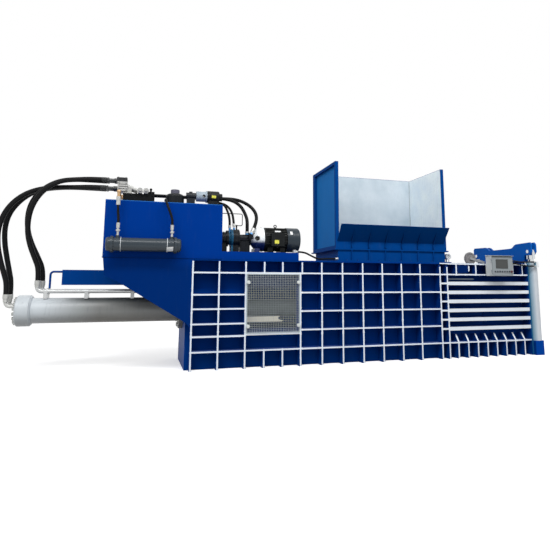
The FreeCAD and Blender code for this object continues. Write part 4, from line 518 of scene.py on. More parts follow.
def fitting_layers(g, a):
    """Dark stubs at the valve, a brassy elbow on the manifold, blue ends at the pump."""
    stub = g.both(g.below(a["X"], station(-1.045)), g.above(a["Z"], 2.53))
    brass = g.both(span(g, a, -1.05, -0.95), g.between(a["Z"], 2.37, 2.5))
    pump_end = g.both(span(g, a, 0.78, 0.90), g.between(a["Z"], 1.86, 1.972))
    drain_end = g.both(span(g, a, 0.54, 0.67), g.between(a["Z"], 1.95, 2.05))
    return [
        (stub, (58, 60, 60)),
        (brass, (196, 160, 116)),
        (g.either(pump_end, drain_end), (70, 140, 200)),
    ]


def box_layers(g, a):
    """Painted light makes the side that looks to the rear paler; the light sensor is a pale ring
    round a dark lens.
    """
    sensor = g.above(a["Y"], -0.6)
    lens = g.both(sensor, g.below(a["Y"], -0.5055))
    return [
        # Painted light: faces that look to the rear are drawn paler.
        (g.below(a["Nx"], -0.5), (210, 214, 212)),
        (sensor, (214, 218, 218)),
        (lens, (30, 32, 36)),
    ]


def filter_layers(g, a):
    """A paler screw cap."""
    return [(g.above(a["Z"], 2.5345), (92, 92, 106))]


def door_layers(g, a):
    """Dark lamps in the row below the screen."""
    return [(g.below(a["Y"], -0.9626), (24, 28, 42))]


def ram_layers(g, a):
    """The bar that works the ram's position switches is bare and pale."""
    bar = g.both(g.between(a["Z"], 0.638, 0.722), g.below(a["Ny"], -0.7),
                 g.below(a["X"], station(1.40)))
    return [(bar, (222, 218, 200))]


# %% [markdown]
# ## Zinc sheet and rubber
#
# Two finishes have a texture of their own. Bare zinc sheet shows spangle, and it is blotted and
# cloudy from handling. A hose's outer wrap leaves a fine lay of bands in the rubber.

# %%
def lining_material():
    """Bare zinc sheet; the right-hand sheet catches more light, and a seam shows in the corner."""
    material, g, shader = new_material("lining_sheet")
    f = shared(g, PAINT_FIELD, 1.3)
    a = shared(g, AXES)
    flake = g.texture("ShaderNodeTexVoronoi", in_Scale=34.0)
    right = g.below(a["Nx"], -0.5)
    sheet = g.mix(right, linear(203, 214, 222), linear(242, 252, 255))
    shade = g.mix(right, linear(182, 197, 207), linear(226, 240, 250))
    tone = g.mix(g.ramp(f["Patch"], 0.35, 0.7), sheet, shade)
    spangle = g.times(g.ramp(flake.outputs["Distance"], 0.2, 0.9), 0.12)
    tone = g.mix(spangle, tone, linear(172, 188, 198))
    tone = g.mix(g.times(g.ramp(f["Run"], 0.55, 0.85), 0.25), tone, linear(176, 190, 196))
    seam = g.both(span(g, a, 4.228, 4.2375), g.below(a["Ny"], -0.5))
    tone = g.mix(g.times(seam, 0.8), tone, linear(120, 124, 122))
    g.join(tone, shader.inputs["Base Color"])
    shader.inputs["Metallic"].default_value = 0.1
    shader.inputs["Specular IOR Level"].default_value = 0.3
    g.join(g.math("ADD", 0.38, g.times(f["Grain"], 0.2)), shader.inputs["Roughness"])
    g.bump(shader, f["Patch"], 0.4, 0.012)
    return material


def rubber_material():
    """Matte black rubber with the fine lay of its outer wrap."""
    material, g, shader = new_material("hose_rubber")
    wave = g.texture("ShaderNodeTexWave", in_Scale=26.0, in_Distortion=1.5,
                     bands_direction="DIAGONAL").outputs["Fac"]
    grain = g.texture("ShaderNodeTexNoise", in_Scale=240.0, in_Detail=3.0).outputs["Fac"]
    g.join(g.mix(grain, linear(4, 4, 5), linear(18, 19, 20)), shader.inputs["Base Color"])
    shader.inputs["Roughness"].default_value = 0.5
    shader.inputs["Specular IOR Level"].default_value = 0.12
    g.bump(shader, g.math("ADD", g.times(wave, 0.6), grain), 0.5, 0.0015)
    return material


# %% [markdown]
# ## Finishes on the CAD nodes
#
# Each CAD node keeps its mesh and gets the finish of the real piece.

# %%
BODY = paint("body_paint", (2, 58, 136), body_layers, rough=0.46, specular=0.035, tint=BLUE_GLOSS,
             blots=0.3, dust=0.2, runs=0.06)
TANK = paint("tank_paint", (1, 52, 138), tank_layers, rough=0.38, specular=0.06, tint=BLUE_GLOSS,
             blots=0.12, dust=0.2, runs=0.04)
HOPPER = paint("hopper_paint", (4, 64, 134), hopper_layers, rough=0.5, specular=0.012,
               tint=BLUE_GLOSS, blots=0.2, dust=0.2, runs=0.08)
YOKE = paint("yoke_paint", (4, 92, 184), rough=0.38, specular=0.08, tint=BLUE_GLOSS, blots=0.3,
             ripple=0.1)
BEAM = paint("beam_paint", (4, 62, 138), specular=0.06, tint=BLUE_GLOSS, blots=0.2, ripple=0.1)
BOLT = paint("bolt_paint", (4, 52, 122), bolt_layers, specular=0.14, scale=6.0)
RAM = paint("ram_paint", (10, 40, 92), ram_layers, rough=0.42, blots=0.4, dust=0.3, runs=0.2)
SHEET = lining_material()
BARREL = paint("barrel_primer", (200, 207, 212), barrel_layers, rough=0.36, specular=0.45,
               blots=0.3, dust=0.1, runs=0.25, ripple=0.05)
TENSION = paint("tension_cylinder_paint", (200, 207, 214), tension_layers, rough=0.34,
                specular=0.4, blots=0.2, dust=0.15, runs=0.2, ripple=0.04)
COOLER = paint("cooler_paint", (46, 56, 64), rough=0.28, specular=0.3, dust=0.1, ripple=0.03,
               scale=2.0)
COWL = paint("cowl_paint", (42, 52, 60), rough=0.32, specular=0.22, blots=0.2, dust=0.1,
             ripple=0.04, scale=2.0)
FILTER = paint("filter_paint", (20, 24, 27), filter_layers, rough=0.34, specular=0.16, dust=0.1,
               ripple=0.03, scale=3.0)
SMALL_BELL = paint("small_bell_paint", (160, 174, 184), small_bell_layers, rough=0.34,
                   specular=0.25, blots=0.7, dust=0.1, runs=0.4, scale=4.0)
MOTOR = paint("motor_paint", (20, 23, 24), rough=0.38, specular=0.14, blots=0.4, dust=0.15,
              ripple=0.05, peel=0.12, scale=2.0)
PUMP = paint("pump_paint", (14, 18, 24), pump_layers, blots=0.5, dust=0.15, ripple=0.1, scale=4.0)
BLACK = paint("manifold_black", (8, 10, 12), specular=0.12, blots=0.5, dust=0.15, ripple=0.1,
              scale=4.0)
BELL = paint("bell_paint", (238, 242, 244), bell_layers, rough=0.36, specular=0.4, blots=0.3,
             dust=0.15, runs=0.4, ripple=0.06, scale=2.0)
BOX = paint("box_enamel", (146, 153, 157), box_layers, rough=0.38, specular=0.3, blots=0.1,
            dust=0.1, ripple=0.03)
DOOR = paint("door_enamel", (142, 149, 153), door_layers, rough=0.38, specular=0.3, blots=0.1,
             dust=0.1, runs=0.05, ripple=0.03)
GLASS = paint("screen_glass", (66, 68, 68), rough=0.18, specular=0.4, blots=0.1, dust=0.1,
              ripple=0.0)
VALVE = paint("valve_steel", (186, 186, 182), valve_layers, rough=0.32, specular=0.45, blots=0.9,
              dust=0.1, runs=0.8, ripple=0.3, scale=5.0)
FITTING = paint("hose_fitting_steel", (196, 197, 194), fitting_layers, rough=0.3, specular=0.5,
                blots=0.5, dust=0.1, runs=0.3, metallic=0.25, ripple=0.05, scale=6.0)
STEEL = paint("bare_steel", (176, 178, 176), rough=0.34, specular=0.5, blots=0.7, runs=0.4,
              metallic=0.35, ripple=0.05, scale=6.0)
PIPE = paint("pipe_steel", (200, 202, 202), rough=0.28, specular=0.5, blots=0.4, dust=0.1,
             metallic=0.3, scale=3.0)
WHEEL = paint("wheel_steel", (146, 144, 142), rough=0.5, specular=0.3, blots=1.0, runs=0.3,
              ripple=0.2, scale=9.0)
KNIFE = paint("knife_steel", (130, 132, 132), rough=0.3, specular=0.5, metallic=0.8, scale=3.0)
CHROME = paint("chrome", (214, 218, 220), rough=0.12, specular=0.5, blots=0.1, dust=0.05,
               metallic=1.0, ripple=0.0)
THRUST = paint("thrust_tube_paint", (150, 160, 154), rough=0.45, specular=0.3, blots=0.7, runs=0.5,
               scale=2.0)
MESH = paint("mesh_wire", (190, 200, 204), specular=0.3, blots=0.3, scale=4.0)
BUTTON = paint("button_plastic", (26, 30, 42), rough=0.3, specular=0.5, blots=0.0, ripple=0.0)
STOP = paint("stop_plastic", (80, 20, 26), rough=0.3, specular=0.5, blots=0.0, ripple=0.0)
RUBBER = rubber_material()

LOOKS = {
    BODY: ["near_side_frame", "far_side_frame", "near_exit_side", "far_exit_side", "base_frame",
           "rear_plate", "roof_deck", "tension_plate"],
    RAM: ["ram"],
    BOLT: ["frame_bolts"],
    BLACK: ["manifold_base", "pressure_pipes"],
    FITTING: ["hose_fittings"],
    TANK: ["oil_tank", "tank_support", "motor_platform"],
    BEAM: ["service_beam"],
    HOPPER: ["hopper_shell", "hopper_neck"],
    YOKE: ["tension_yoke"],
    SHEET: ["hopper_lining"],
    BARREL: ["main_barrel", "rear_cap"],
    THRUST: ["thrust_tube"],
    TENSION: ["tension_tubes"],
    COOLER: ["oil_cooler"],
    COWL: ["fan_cover"],
    FILTER: ["return_filter"],
    SMALL_BELL: ["small_bell"],
    MOTOR: ["main_motor", "small_motor", "terminal_box"],
    PUMP: ["hydraulic_pump"],
    BELL: ["bell_housing"],
    BOX: ["control_box"],
    DOOR: ["control_door"],
    GLASS: ["screen"],
    VALVE: ["valve_body"],
    STEEL: ["cap_bolts", "small_rotor", "motor_rotor", "wheel_arm"],
    PIPE: ["steel_pipes"],
    WHEEL: ["length_wheel"],
    KNIFE: ["shear_knife", "ram_knife"],
    CHROME: ["piston_rod", "tension_rods"],
    MESH: ["window_mesh"],
    BUTTON: ["push_button_1", "push_button_2", "push_button_3"],
    STOP: ["stop_button"],
    RUBBER: ["cap_hoses", "pipe_hoses", "pump_hoses", "drain_hoses", "cooler_hoses",
             "tension_hoses", "motor_cable"],
}
for material, names in LOOKS.items():
    for name in names:
        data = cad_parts[name].data
        data.materials.clear()
        data.materials.append(material)
finished = sum(len(names) for names in LOOKS.values())
print("nodes with a finish:", finished, "of", len(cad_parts))

# %% [markdown]
# ## Hoses
#
# Each hose is a tube of real length that hangs between two fittings. Its centreline is a NURBS
# curve of order 3: near a control point it is the parabola that touches the two legs of the
# control polygon, so the hose leaves each fitting in line with it. The table gives each hose its
# CAD node, diameter, stiffness and control points (station, Y and height in millimetres).

# %%
ROUTES = {
    "cap_hose_a": ("cap_hoses", 0.070, "stiff", [
        (-1223, -350, 2578), (-1420, -350, 2578), (-1643, -310, 2565), (-1875, -240, 2567),
        (-2101, -190, 2543), (-2291, -170, 2469), (-2447, -160, 2336), (-2554, -148, 2162),
        (-2609, -134, 1951), (-2602, -116, 1730), (-2553, -95, 1510), (-2502, -74, 1345),
        (-2457, -60, 1195), (-2457, -60, 1052)]),
    "cap_hose_b": ("cap_hoses", 0.070, "stiff", [
        (-1223, -240, 2578), (-1420, -240, 2578), (-1657, -200, 2585), (-1890, -140, 2580),
        (-2118, -98, 2545), (-2284, -75, 2463), (-2420, -50, 2333), (-2517, -20, 2182),
        (-2559, 5, 1997), (-2552, 28, 1785), (-2509, 46, 1560), (-2466, 57, 1370),
        (-2432, 60, 1215), (-2432, 60, 1052)]),
    "pipe_hose_a": ("pipe_hoses", 0.070, "stiff", [
        (-1215, -350, 2696), (-1410, -350, 2696), (-1616, -370, 2671), (-1812, -392, 2640),
        (-1976, -402, 2539), (-2098, -370, 2404), (-2184, -310, 2240), (-2222, -245, 2065),
        (-2223, -185, 1881), (-2187, -130, 1711), (-2127, -85, 1551), (-2072, -60, 1405),
        (-2072, -60, 1245)]),
    "pipe_hose_b": ("pipe_hoses", 0.070, "stiff", [
        (-1215, -240, 2696), (-1410, -240, 2696), (-1628, -278, 2690), (-1838, -306, 2653),
        (-2004, -316, 2559), (-2136, -275, 2433), (-2222, -205, 2276), (-2253, -140, 2105),
        (-2244, -80, 1927), (-2191, -25, 1755), (-2111, 25, 1580), (-2035, 60, 1402),
        (-2035, 60, 1240)]),
    "pump_hose_a": ("pump_hoses", 0.052, "stiff", [
        (180, -112, 2533), (345, -112, 2533), (520, -122, 2549), (700, -152, 2540),
        (825, -225, 2488), (930, -312, 2402), (990, -400, 2284), (979, -480, 2147),
        (926, -522, 2036)]),
    "pump_hose_b": ("pump_hoses", 0.052, "stiff", [
        (180, -178, 2533), (330, -178, 2533), (500, -184, 2536), (672, -208, 2502),
        (776, -262, 2410), (826, -332, 2290), (846, -400, 2190), (846, -420, 2095),
        (846, -420, 1998)]),
    "drain_hose_a": ("drain_hoses", 0.036, "stiff", [
        (400, -163, 2470), (462, -215, 2462), (515, -285, 2408), (548, -355, 2310),
        (574, -412, 2195), (574, -420, 2085)]),
    "drain_hose_b": ("drain_hoses", 0.036, "stiff", [
        (400, -106, 2468), (470, -160, 2464), (545, -238, 2425), (598, -325, 2345),
        (630, -392, 2230), (636, -420, 2110)]),
    "cooler_hose_a": ("cooler_hoses", 0.034, "stiff", [
        (-1018, -866, 2255), (-1018, -866, 2168), (-1005, -866, 2092), (-1005, -866, 2012)]),
    "cooler_hose_b": ("cooler_hoses", 0.034, "stiff", [
        (-392, -655, 2392), (-392, -738, 2392), (-388, -820, 2344), (-364, -863, 2262),
        (-325, -868, 2165), (-298, -866, 2080), (-298, -866, 2005)]),
    "tension_hose_a": ("tension_hoses", 0.025, "stiff", [
        (5345, -770, 1604), (5470, -770, 1604), (5620, -802, 1579), (5745, -840, 1585),
        (5855, -840, 1585)]),
    "tension_hose_b": ("tension_hoses", 0.025, "stiff", [
        (5345, -770, 1570), (5465, -770, 1570), (5610, -806, 1530), (5742, -840, 1511),
        (5855, -840, 1511)]),
    "motor_cable_line": ("motor_cable", 0.028, "medium", [
        (1606, -600, 1690), (1712, -600, 1690), (1832, -590, 1632), (1965, -560, 1582),
        (2115, -530, 1598), (2255, -530, 1598)]),
}


def hose_curve(name, points, diameter):
    """A NURBS tube along control points of the table above."""
    curve = bpy.data.curves.new(name, "CURVE")
    curve.dimensions = "3D"
    curve.bevel_depth = diameter / 2
    curve.bevel_resolution = 6
    curve.use_fill_caps = True
    spline = curve.splines.new("NURBS")
    spline.points.add(len(points) - 1)
    for point, (s, y, z) in zip(spline.points, points):
        point.co = (station(s / 1000), y / 1000, z / 1000, 1.0)
    spline.order_u = 3
    spline.use_endpoint_u = True
    spline.resolution_u = 12
    obj = bpy.data.objects.new(name, curve)
    scene.collection.objects.link(obj)
    curve.materials.append(RUBBER)
    return obj


for name, (node, diameter, stiffness, points) in ROUTES.items():
    hose = hose_curve(name, points, diameter)
    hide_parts(node)
    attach(hose, "press_frame")


# %% [markdown]
# ## Surfaces on a grid
#
# The small added pieces are surfaces of two parameters: the points of a whole grid are worked out
# at once, and the faces join each point to its neighbours. A closed turn joins the last column to
# the first, and the two ends get a flat cap.

# %%
def grid_faces(rows, columns):
    """Quad indices of a grid whose last column joins its first."""
    i, j = np.meshgrid(np.arange(rows - 1), np.arange(columns), indexing="ij")
    right = (j + 1) % columns
    here, above = i * columns, (i + 1) * columns
    return np.stack([here + j, here + right, above + right, above + j], -1).reshape(-1, 4)


def add_piece(name, points, faces, material, body="press_frame"):
    """Link a mesh piece that rides on a body; points is an N x 3 array in row-frame metres."""
    mesh = bpy.data.meshes.new(name)
    mesh.from_pydata(points.tolist(), [], [list(map(int, face)) for face in faces])
    mesh.update()
    mesh.materials.append(material)
    obj = bpy.data.objects.new(name, mesh)
    scene.collection.objects.link(obj)
    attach(obj, body)
    return obj


def turned(profile, start, axis, sides=32):
    """A turned form: each profile pair (distance along the axis, radius) swept round the axis.

    Formula: P(u, v) = start + u axis + r(u) (cos v e1 + sin v e2), with e1 and e2 square to the
    axis. The first and last rings are closed by flat caps.
    """
    along = Vector(axis).normalized()
    side = along.orthogonal().normalized()
    other = along.cross(side)
    u = np.array([p[0] for p in profile])[:, None, None]
    r = np.array([p[1] for p in profile])[:, None, None]
    v = np.linspace(0, 2 * np.pi, sides, endpoint=False)[None, :, None]
    ring = np.cos(v) * np.array(side) + np.sin(v) * np.array(other)
    points = (np.array(start) + u * np.array(along) + r * ring).reshape(-1, 3)
    faces = [tuple(f) for f in grid_faces(len(profile), sides)]
    last = (len(profile) - 1) * sides
    faces.append(tuple(range(sides))[::-1])
    faces.append(tuple(range(last, last + sides)))
    return points, faces


def merged(parts):
    """Several point and face sets as one."""
    points, faces, count = [], [], 0
    for p, f in parts:
        points.append(p)
        faces += [tuple(i + count for i in face) for face in f]
        count += len(p)
    return np.concatenate(points), faces


# %% [markdown]
# ## Window mesh
#
# The window over the ram is closed by welded wire: thin upright wires on the outside and thin
# level wires behind them. At this size one wire is a six-sided prism, and the two families are
# worked out as arrays. Wires, frame bars and the ears under the bolts are one piece, which takes
# the place of the CAD node's flat sheet.

# %%
RIB_HALF = 0.014
WINDOW = (0.774 + RIB_HALF, 1.608 - RIB_HALF, 0.495, 1.344)
WIRE_PITCH = 0.0255
WIRE_RADIUS = 0.0016
WIRE_Y = -HALF_BODY - 0.0055
FIRST_WIRE, LAST_WIRE, WIRE_END = 0.020, 0.010, 0.010
RIM_WIDTH, RIM_OVERLAP = 0.009, 0.002
RIM_FRONT, RIM_BACK = -HALF_BODY - 0.008, -HALF_BODY - 0.0002
EAR_PROFILE = [(0, 0.024), (0.006, 0.024), (0.0078, 0.021)]
EAR_INSET = 0.020
EAR_ROWS = (0.595, 1.221)


def wires(starts, ends, radius, sides=6):
    """Straight prisms between two arrays of points.

    Formula: ring points are end + r (cos v e1 + sin v e2) with e1 = Y and e2 square to the wire.
    """
    run = ends - starts
    run = run / np.linalg.norm(run, axis=1, keepdims=True)
    e1 = np.tile([0.0, 1.0, 0.0], (len(run), 1))
    e2 = np.cross(run, e1)
    v = np.linspace(0, 2 * np.pi, sides, endpoint=False)
    cos, sin = np.cos(v)[None, :, None], np.sin(v)[None, :, None]
    ring = radius * (cos * e1[:, None] + sin * e2[:, None])
    points = np.stack([starts[:, None] + ring, ends[:, None] + ring], axis=1).reshape(-1, 3)
    base = np.arange(len(run))[:, None] * 2 * sides
    j = np.arange(sides)[None]
    k = (j + 1) % sides
    quads = np.stack([base + j, base + k, base + sides + k, base + sides + j], -1).reshape(-1, 4)
    faces = [tuple(q) for q in quads]
    for b in base[:, 0]:
        faces.append(tuple(b + i for i in range(sides))[::-1])
        faces.append(tuple(b + sides + i for i in range(sides)))
    return points, faces


def bar(x0, x1, y0, y1, z0, z1):
    """A flat bar between two corners."""
    points = np.array([(a, b, c) for a in (x0, x1) for b in (y0, y1) for c in (z0, z1)])
    faces = [(0, 1, 3, 2), (4, 6, 7, 5), (0, 4, 5, 1), (2, 3, 7, 6), (0, 2, 6, 4), (1, 5, 7, 3)]
    return points, faces


x0, x1, z0, z1 = station(WINDOW[0]), station(WINDOW[1]), WINDOW[2], WINDOW[3]
upright_x = np.arange(x0 + FIRST_WIRE, x1 - LAST_WIRE, WIRE_PITCH)
level_z = np.arange(z0 + FIRST_WIRE, z1 - LAST_WIRE, WIRE_PITCH)
behind = WIRE_Y + 1.8 * WIRE_RADIUS
uprights = wires(np.array([(x, WIRE_Y, z0 - WIRE_END) for x in upright_x]),
                 np.array([(x, WIRE_Y, z1 + WIRE_END) for x in upright_x]), WIRE_RADIUS)
levels = wires(np.array([(x0 - WIRE_END, behind, z) for z in level_z]),
               np.array([(x1 + WIRE_END, behind, z) for z in level_z]), WIRE_RADIUS)
inner = (x0 + RIM_WIDTH, x1 - RIM_WIDTH, z0 + RIM_WIDTH, z1 - RIM_WIDTH)
outer = (x0 - RIM_OVERLAP, x1 + RIM_OVERLAP, z0 - RIM_OVERLAP, z1 + RIM_OVERLAP)
frame_bars = [
    bar(outer[0], inner[0], RIM_FRONT, RIM_BACK, outer[2], outer[3]),
    bar(inner[1], outer[1], RIM_FRONT, RIM_BACK, outer[2], outer[3]),
    bar(inner[0], inner[1], RIM_FRONT, RIM_BACK, outer[2], inner[2]),
    bar(inner[0], inner[1], RIM_FRONT, RIM_BACK, inner[3], outer[3]),
]
ears = [
    turned(EAR_PROFILE, (x, RIM_BACK, z), (0, -1, 0), 24)
    for x in (x0 + EAR_INSET, x1 - EAR_INSET)
    for z in EAR_ROWS
]
points, faces = merged([uprights, levels] + frame_bars + ears)
wire_screen = add_piece("wire_screen", points, faces, MESH)
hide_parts("window_mesh")
print("wires:", len(upright_x), "upright,", len(level_z), "level")

# %% [markdown]
# ## Plates that follow a round body
#
# The motor, its cowl, the small motor and the cooler carry thin plates or tags bent to their
# curve. Each is a closed loop of points across the plate, carried along the axis of the body. The
# machine's plates stay bare.

# %%
def outwards(points, faces):
    """Faces in the order that makes the enclosed volume positive.

    Formula: V = sum of a . (b x c) / 6 over the triangle fan of every face.
    """
    volume = 0.0
    for face in faces:
        a = points[face[0]]
        for b, c in zip(face[1:-1], face[2:]):
            volume += float(np.dot(a, np.cross(points[b], points[c])))
    return faces if volume > 0 else [tuple(reversed(face)) for face in faces]


def wrapped_plate(axis, radius, s0, s1, low, high, thick=0.0015, slope=0.0, steps=12):
    """A thin plate bent round an axis parallel to X; low and high are degrees above level.

    Formula: P(s, a) = (s, y - r cos(a + slope (s - s0)), z + r sin(a + slope (s - s0))), with r
    the outer radius on the way up and the inner radius on the way back.
    """
    y, z = axis
    rows, count = 4, 2 * steps
    s = np.linspace(station(s0), station(s1), rows)[:, None]
    up = np.radians(np.linspace(low, high, steps))
    angle = np.concatenate([up, up[::-1]])[None] + slope * (s - s[0])
    r = np.concatenate([np.full(steps, radius + thick), np.full(steps, radius)])[None]
    place = [np.broadcast_to(s, angle.shape), y - r * np.cos(angle), z + r * np.sin(angle)]
    points = np.stack(place, -1).reshape(-1, 3)
    faces = [tuple(f) for f in grid_faces(rows, count)]
    for row, turn in ((0, 1), (rows - 1, -1)):
        for j in range(steps - 1):
            quad = [j, j + 1, count - 2 - j, count - 1 - j][::turn]
            faces.append(tuple(row * count + k for k in quad))
    return points, outwards(points, faces)


def flat_plate(centre, half_width, half_height, thick, corner=8.0, sides=48):
    """A plate on a level face that looks to -Y.

    Formula: outline |x / w|^n + |z / h|^n = 1, a rectangle with rounded corners; the front ring
    is drawn in by the edge's small bevel.
    """
    v = np.linspace(0, 2 * np.pi, sides, endpoint=False)
    power = 2 / corner
    unit_x = np.sign(np.cos(v)) * np.abs(np.cos(v)) ** power
    unit_z = np.sign(np.sin(v)) * np.abs(np.sin(v)) ** power
    rings = []
    for depth, inset in ((0.0, 0.0), (thick * 0.6, 0.0), (thick, 0.0006)):
        x = centre[0] + unit_x * (half_width - inset)
        z = centre[2] + unit_z * (half_height - inset)
        rings.append(np.stack([x, np.full_like(x, centre[1] - depth), z], -1))
    points = np.concatenate(rings)
    faces = [tuple(f) for f in grid_faces(len(rings), sides)]
    faces += [tuple(range(sides)), tuple(range(2 * sides, 3 * sides))[::-1]]
    return points, outwards(points, faces)


LABEL = paint("yellow_plate", (226, 222, 88), specular=0.3, blots=0.5, dust=0.1, scale=12.0)
PALE = paint("pale_plate", (226, 229, 230), rough=0.35, specular=0.4, blots=0.4, dust=0.1,
             scale=12.0)
BAND = paint("strap_band", (196, 202, 206), rough=0.3, specular=0.5, blots=0.3, dust=0.1,
             scale=8.0)
COOLER_AXIS = (-0.866, 1.722)
MOTOR_AXIS = (-0.420, 1.884)
SMALL_AXIS = (-0.350, 2.520)

points, faces = merged([
    flat_plate((station(1.255), -0.678, 1.829), 0.034, 0.027, 0.0015),
    wrapped_plate(SMALL_AXIS, 0.0922, 0.289, 0.353, -18, 7),
])
add_piece("yellow_plates", points, faces, LABEL)
points, faces = merged([
    wrapped_plate(MOTOR_AXIS, 0.1842, 1.252, 1.344, 35, 44),
    wrapped_plate(MOTOR_AXIS, 0.1902, 1.492, 1.530, 22, 40),
    wrapped_plate(COOLER_AXIS, 0.0985, -0.366, -0.278, -62, -20, 0.0012, slope=1.1),
])
add_piece("pale_plates", points, faces, PALE)
points, faces = merged([
    wrapped_plate(COOLER_AXIS, 0.0972, s - 0.004, s + 0.004, -86, 100, 0.0016, steps=40)
    for s in (-0.960, -0.357)
])
add_piece("cooler_bands", points, faces, BAND)
print("plates and bands added")

# %% [markdown]
# ## Hose ends
#
# A hydraulic hose is held by a steel sleeve that a press has squeezed in narrow bands. The bands
# stand a little proud between the squeezed grooves, so each end gets a row of turned rings, and a
# hexagon nut where it meets its port.

# %%
BAND_SHARE = 0.62
BAND_SINK = 0.0006
BAND_SLOPE = 0.18


def rings(start, way, radius, first, last, count, proud=0.0014, sides=28):
    """Turned bands along a sleeve.

    Formula: band k spans first + k p to first + (k + 0.62) p, with p the pitch; its edges slope.
    """
    pitch = (last - first) / count
    width = pitch * BAND_SHARE
    foot, top = radius - BAND_SINK, radius + proud
    out = []
    for k in range(count):
        u = first + k * pitch
        profile = [(u, foot), (u + BAND_SLOPE * width, top), (u + (1 - BAND_SLOPE) * width, top),
                   (u + width, foot)]
        out.append(turned(profile, start, way, sides))
    return out


def hex_nut(start, way, across, first, last):
    """A hexagon nut: a six-sided turned form with chamfered rims."""
    radius = across / math.sqrt(3)
    rim = radius * 0.9
    edge = min(0.003, (last - first) * 0.25)
    profile = [(first, rim), (first + edge, radius), (last - edge, radius), (last, rim)]
    return turned(profile, start, way, 6)


def hose_ends(name):
    """Start and outward way of a hose's two ends, in metres."""
    points = np.array(ROUTES[name][3], float) / 1000
    points[:, 0] = station(points[:, 0])
    ends = []
    for a, b in ((points[0], points[1]), (points[-1], points[-2])):
        ends.append((a, (a - b) / np.linalg.norm(a - b)))
    return ends


parts = []
for name in ("cap_hose_a", "cap_hose_b", "pipe_hose_a", "pipe_hose_b"):
    (start, way), (end, down) = hose_ends(name)
    parts += rings(start, way, 0.0352, -0.070, 0.0, 5, 0.0022)
    parts.append(hex_nut(start, way, 0.062, 0.004, 0.030))
    parts += rings(end, down, 0.0400, 0.002, 0.061, 5)
for name in ("pump_hose_a", "pump_hose_b"):
    (start, way), (end, down) = hose_ends(name)
    parts += rings(start, way, 0.0297, 0.002, 0.043, 4)
    parts += rings(end, down, 0.0297, 0.002, 0.029 if name.endswith("b") else 0.061, 3)
for name in ("cooler_hose_a", "cooler_hose_b"):
    _, (end, down) = hose_ends(name)
    parts += rings(end, down, 0.0225, 0.002, 0.068, 6)
    parts.append(hex_nut(end, down, 0.050, 0.088, 0.112))
(start, way), _ = hose_ends("cooler_hose_a")
parts += rings(start, way, 0.0272, 0.004, 0.112, 7)
for name in ("drain_hose_a", "drain_hose_b"):
    _, (end, down) = hose_ends(name)
    parts += rings(end, down, 0.0206, 0.002, 0.038, 4)
points, faces = merged([(p, outwards(p, f)) for p, f in parts])
add_piece("hose_crimps", points, faces, FITTING)
print("bands and nuts on hose ends:", len(parts))

# %% [markdown]
# ## Screws and nuts on the valve
#
# The valve stack is held by cap screws with a hexagon socket, and each coil by a nut on its core.
# The screws in the manifold below it are blackened. A socket is part of the same turned profile:
# the line climbs the head, crosses its rim and goes down inside.

# %%
def cap_screw(place, way, radius, height):
    """A socket head: out along the side, over a small chamfer, and down into the socket."""
    profile = [(0.0, radius), (height * 0.9, radius), (height, radius * 0.92),
               (height, radius * 0.52), (height * 0.45, radius * 0.5)]
    return turned(profile, place, way, 24)


UPWARDS, NEARWARDS = (0, 0, 1), (0, -1, 0)
screws = [
    cap_screw((station(s), y, 2.7338), UPWARDS, 0.0095, 0.011)
    for s in (-1.060, -0.955)
    for y in (-0.392, -0.295, -0.198)
]
screws += [
    cap_screw((station(s), -0.4198, z), NEARWARDS, 0.0085, 0.009)
    for s in (-1.050, -0.945)
    for z in (2.550, 2.655)
]
screws += [
    hex_nut((station(s), -0.4948, 2.540), NEARWARDS, 0.040, 0.0, 0.014)
    for s in (-0.752, -0.668)
]
points, faces = merged([(p, outwards(p, f)) for p, f in screws])
add_piece("valve_screws", points, faces, STEEL)
dark_screws = [
    cap_screw((station(s), -0.4448, z), NEARWARDS, 0.010, 0.010)
    for s in np.linspace(-0.955, -0.575, 6)
    for z in (2.385, 2.475)
]
points, faces = merged([(p, outwards(p, f)) for p, f in dark_screws])
add_piece("manifold_screws", points, faces, BLACK)
print("screws and nuts:", len(screws) + len(dark_screws))

# %% [markdown]
# ## Floor and light
#
# The picture has no background: the machine stands on white. The floor and the sky are white to
# the camera and to reflections, by the light path, and a calmer grey to diffuse light, so that the
# undersides stay dark as they are in the yard. One broad lamp stands high at the left, and a long
# one hangs over the near side.

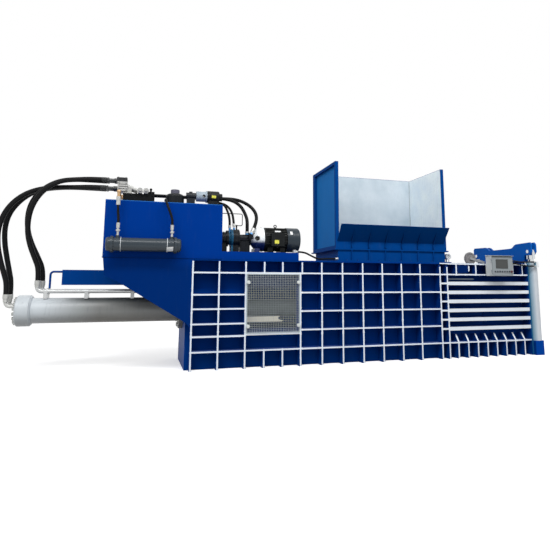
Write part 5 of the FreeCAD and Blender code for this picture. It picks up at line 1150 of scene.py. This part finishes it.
# %%
FLOOR_CORNERS = [(-60, -40, 0), (60, -40, 0), (60, 80, 0), (-60, 80, 0)]
FLOOR_COLOUR = (0.35, 0.95)
FLOOR_GLOW = (0.0, 0.42)
SKY_COLOUR = (0.62, 1.0)


def white_to_camera(g, lit, seen):
    """A grey level: seen for camera, gloss and glass rays, and lit for all other rays."""
    path = g.add("ShaderNodeLightPath")
    kinds = ("Is Camera Ray", "Is Glossy Ray", "Is Transmission Ray")
    direct = g.either(*(path.outputs[kind] for kind in kinds))
    return g.mix(direct, (lit, lit, lit), (seen, seen, seen))


floor_mesh = bpy.data.meshes.new("floor")
floor_mesh.from_pydata(FLOOR_CORNERS, [], [(0, 1, 2, 3)])
floor = bpy.data.objects.new("floor", floor_mesh)
scene.collection.objects.link(floor)
floor_paint, g, shader = new_material("floor_paint")
g.join(white_to_camera(g, *FLOOR_COLOUR), shader.inputs["Base Color"])
g.join(white_to_camera(g, *FLOOR_GLOW), shader.inputs["Emission Color"])
shader.inputs["Emission Strength"].default_value = 1.0
shader.inputs["Roughness"].default_value = 0.9
shader.inputs["Specular IOR Level"].default_value = 0.0
floor_mesh.materials.append(floor_paint)

world = bpy.data.worlds.new("sky")
scene.world = world
world.use_nodes = True
g = Graph(world.node_tree)
sky = world.node_tree.nodes["Background"]
g.join(white_to_camera(g, *SKY_COLOUR), sky.inputs[0])
sky.inputs[1].default_value = 1.0


def area_light(name, place, target, size, power):
    """A soft rectangular lamp that looks at a point; size is its width and height."""
    data = bpy.data.lights.new(name, "AREA")
    data.energy = power
    data.shape = "RECTANGLE"
    data.size, data.size_y = size
    lamp = bpy.data.objects.new(name, data)
    lamp.location = place
    aim = Vector(target) - Vector(place)
    lamp.rotation_euler = aim.to_track_quat("-Z", "Y").to_euler()
    scene.collection.objects.link(lamp)


area_light("key", (-9.0, -9.0, 9.0), (0, 0, 1), (5.0, 5.0), 380)
area_light("long lamp", (-0.5, -6.5, 9.5), (-0.5, 0, 1), (13.0, 1.6), 820)
scene.view_settings.view_transform = "Standard"
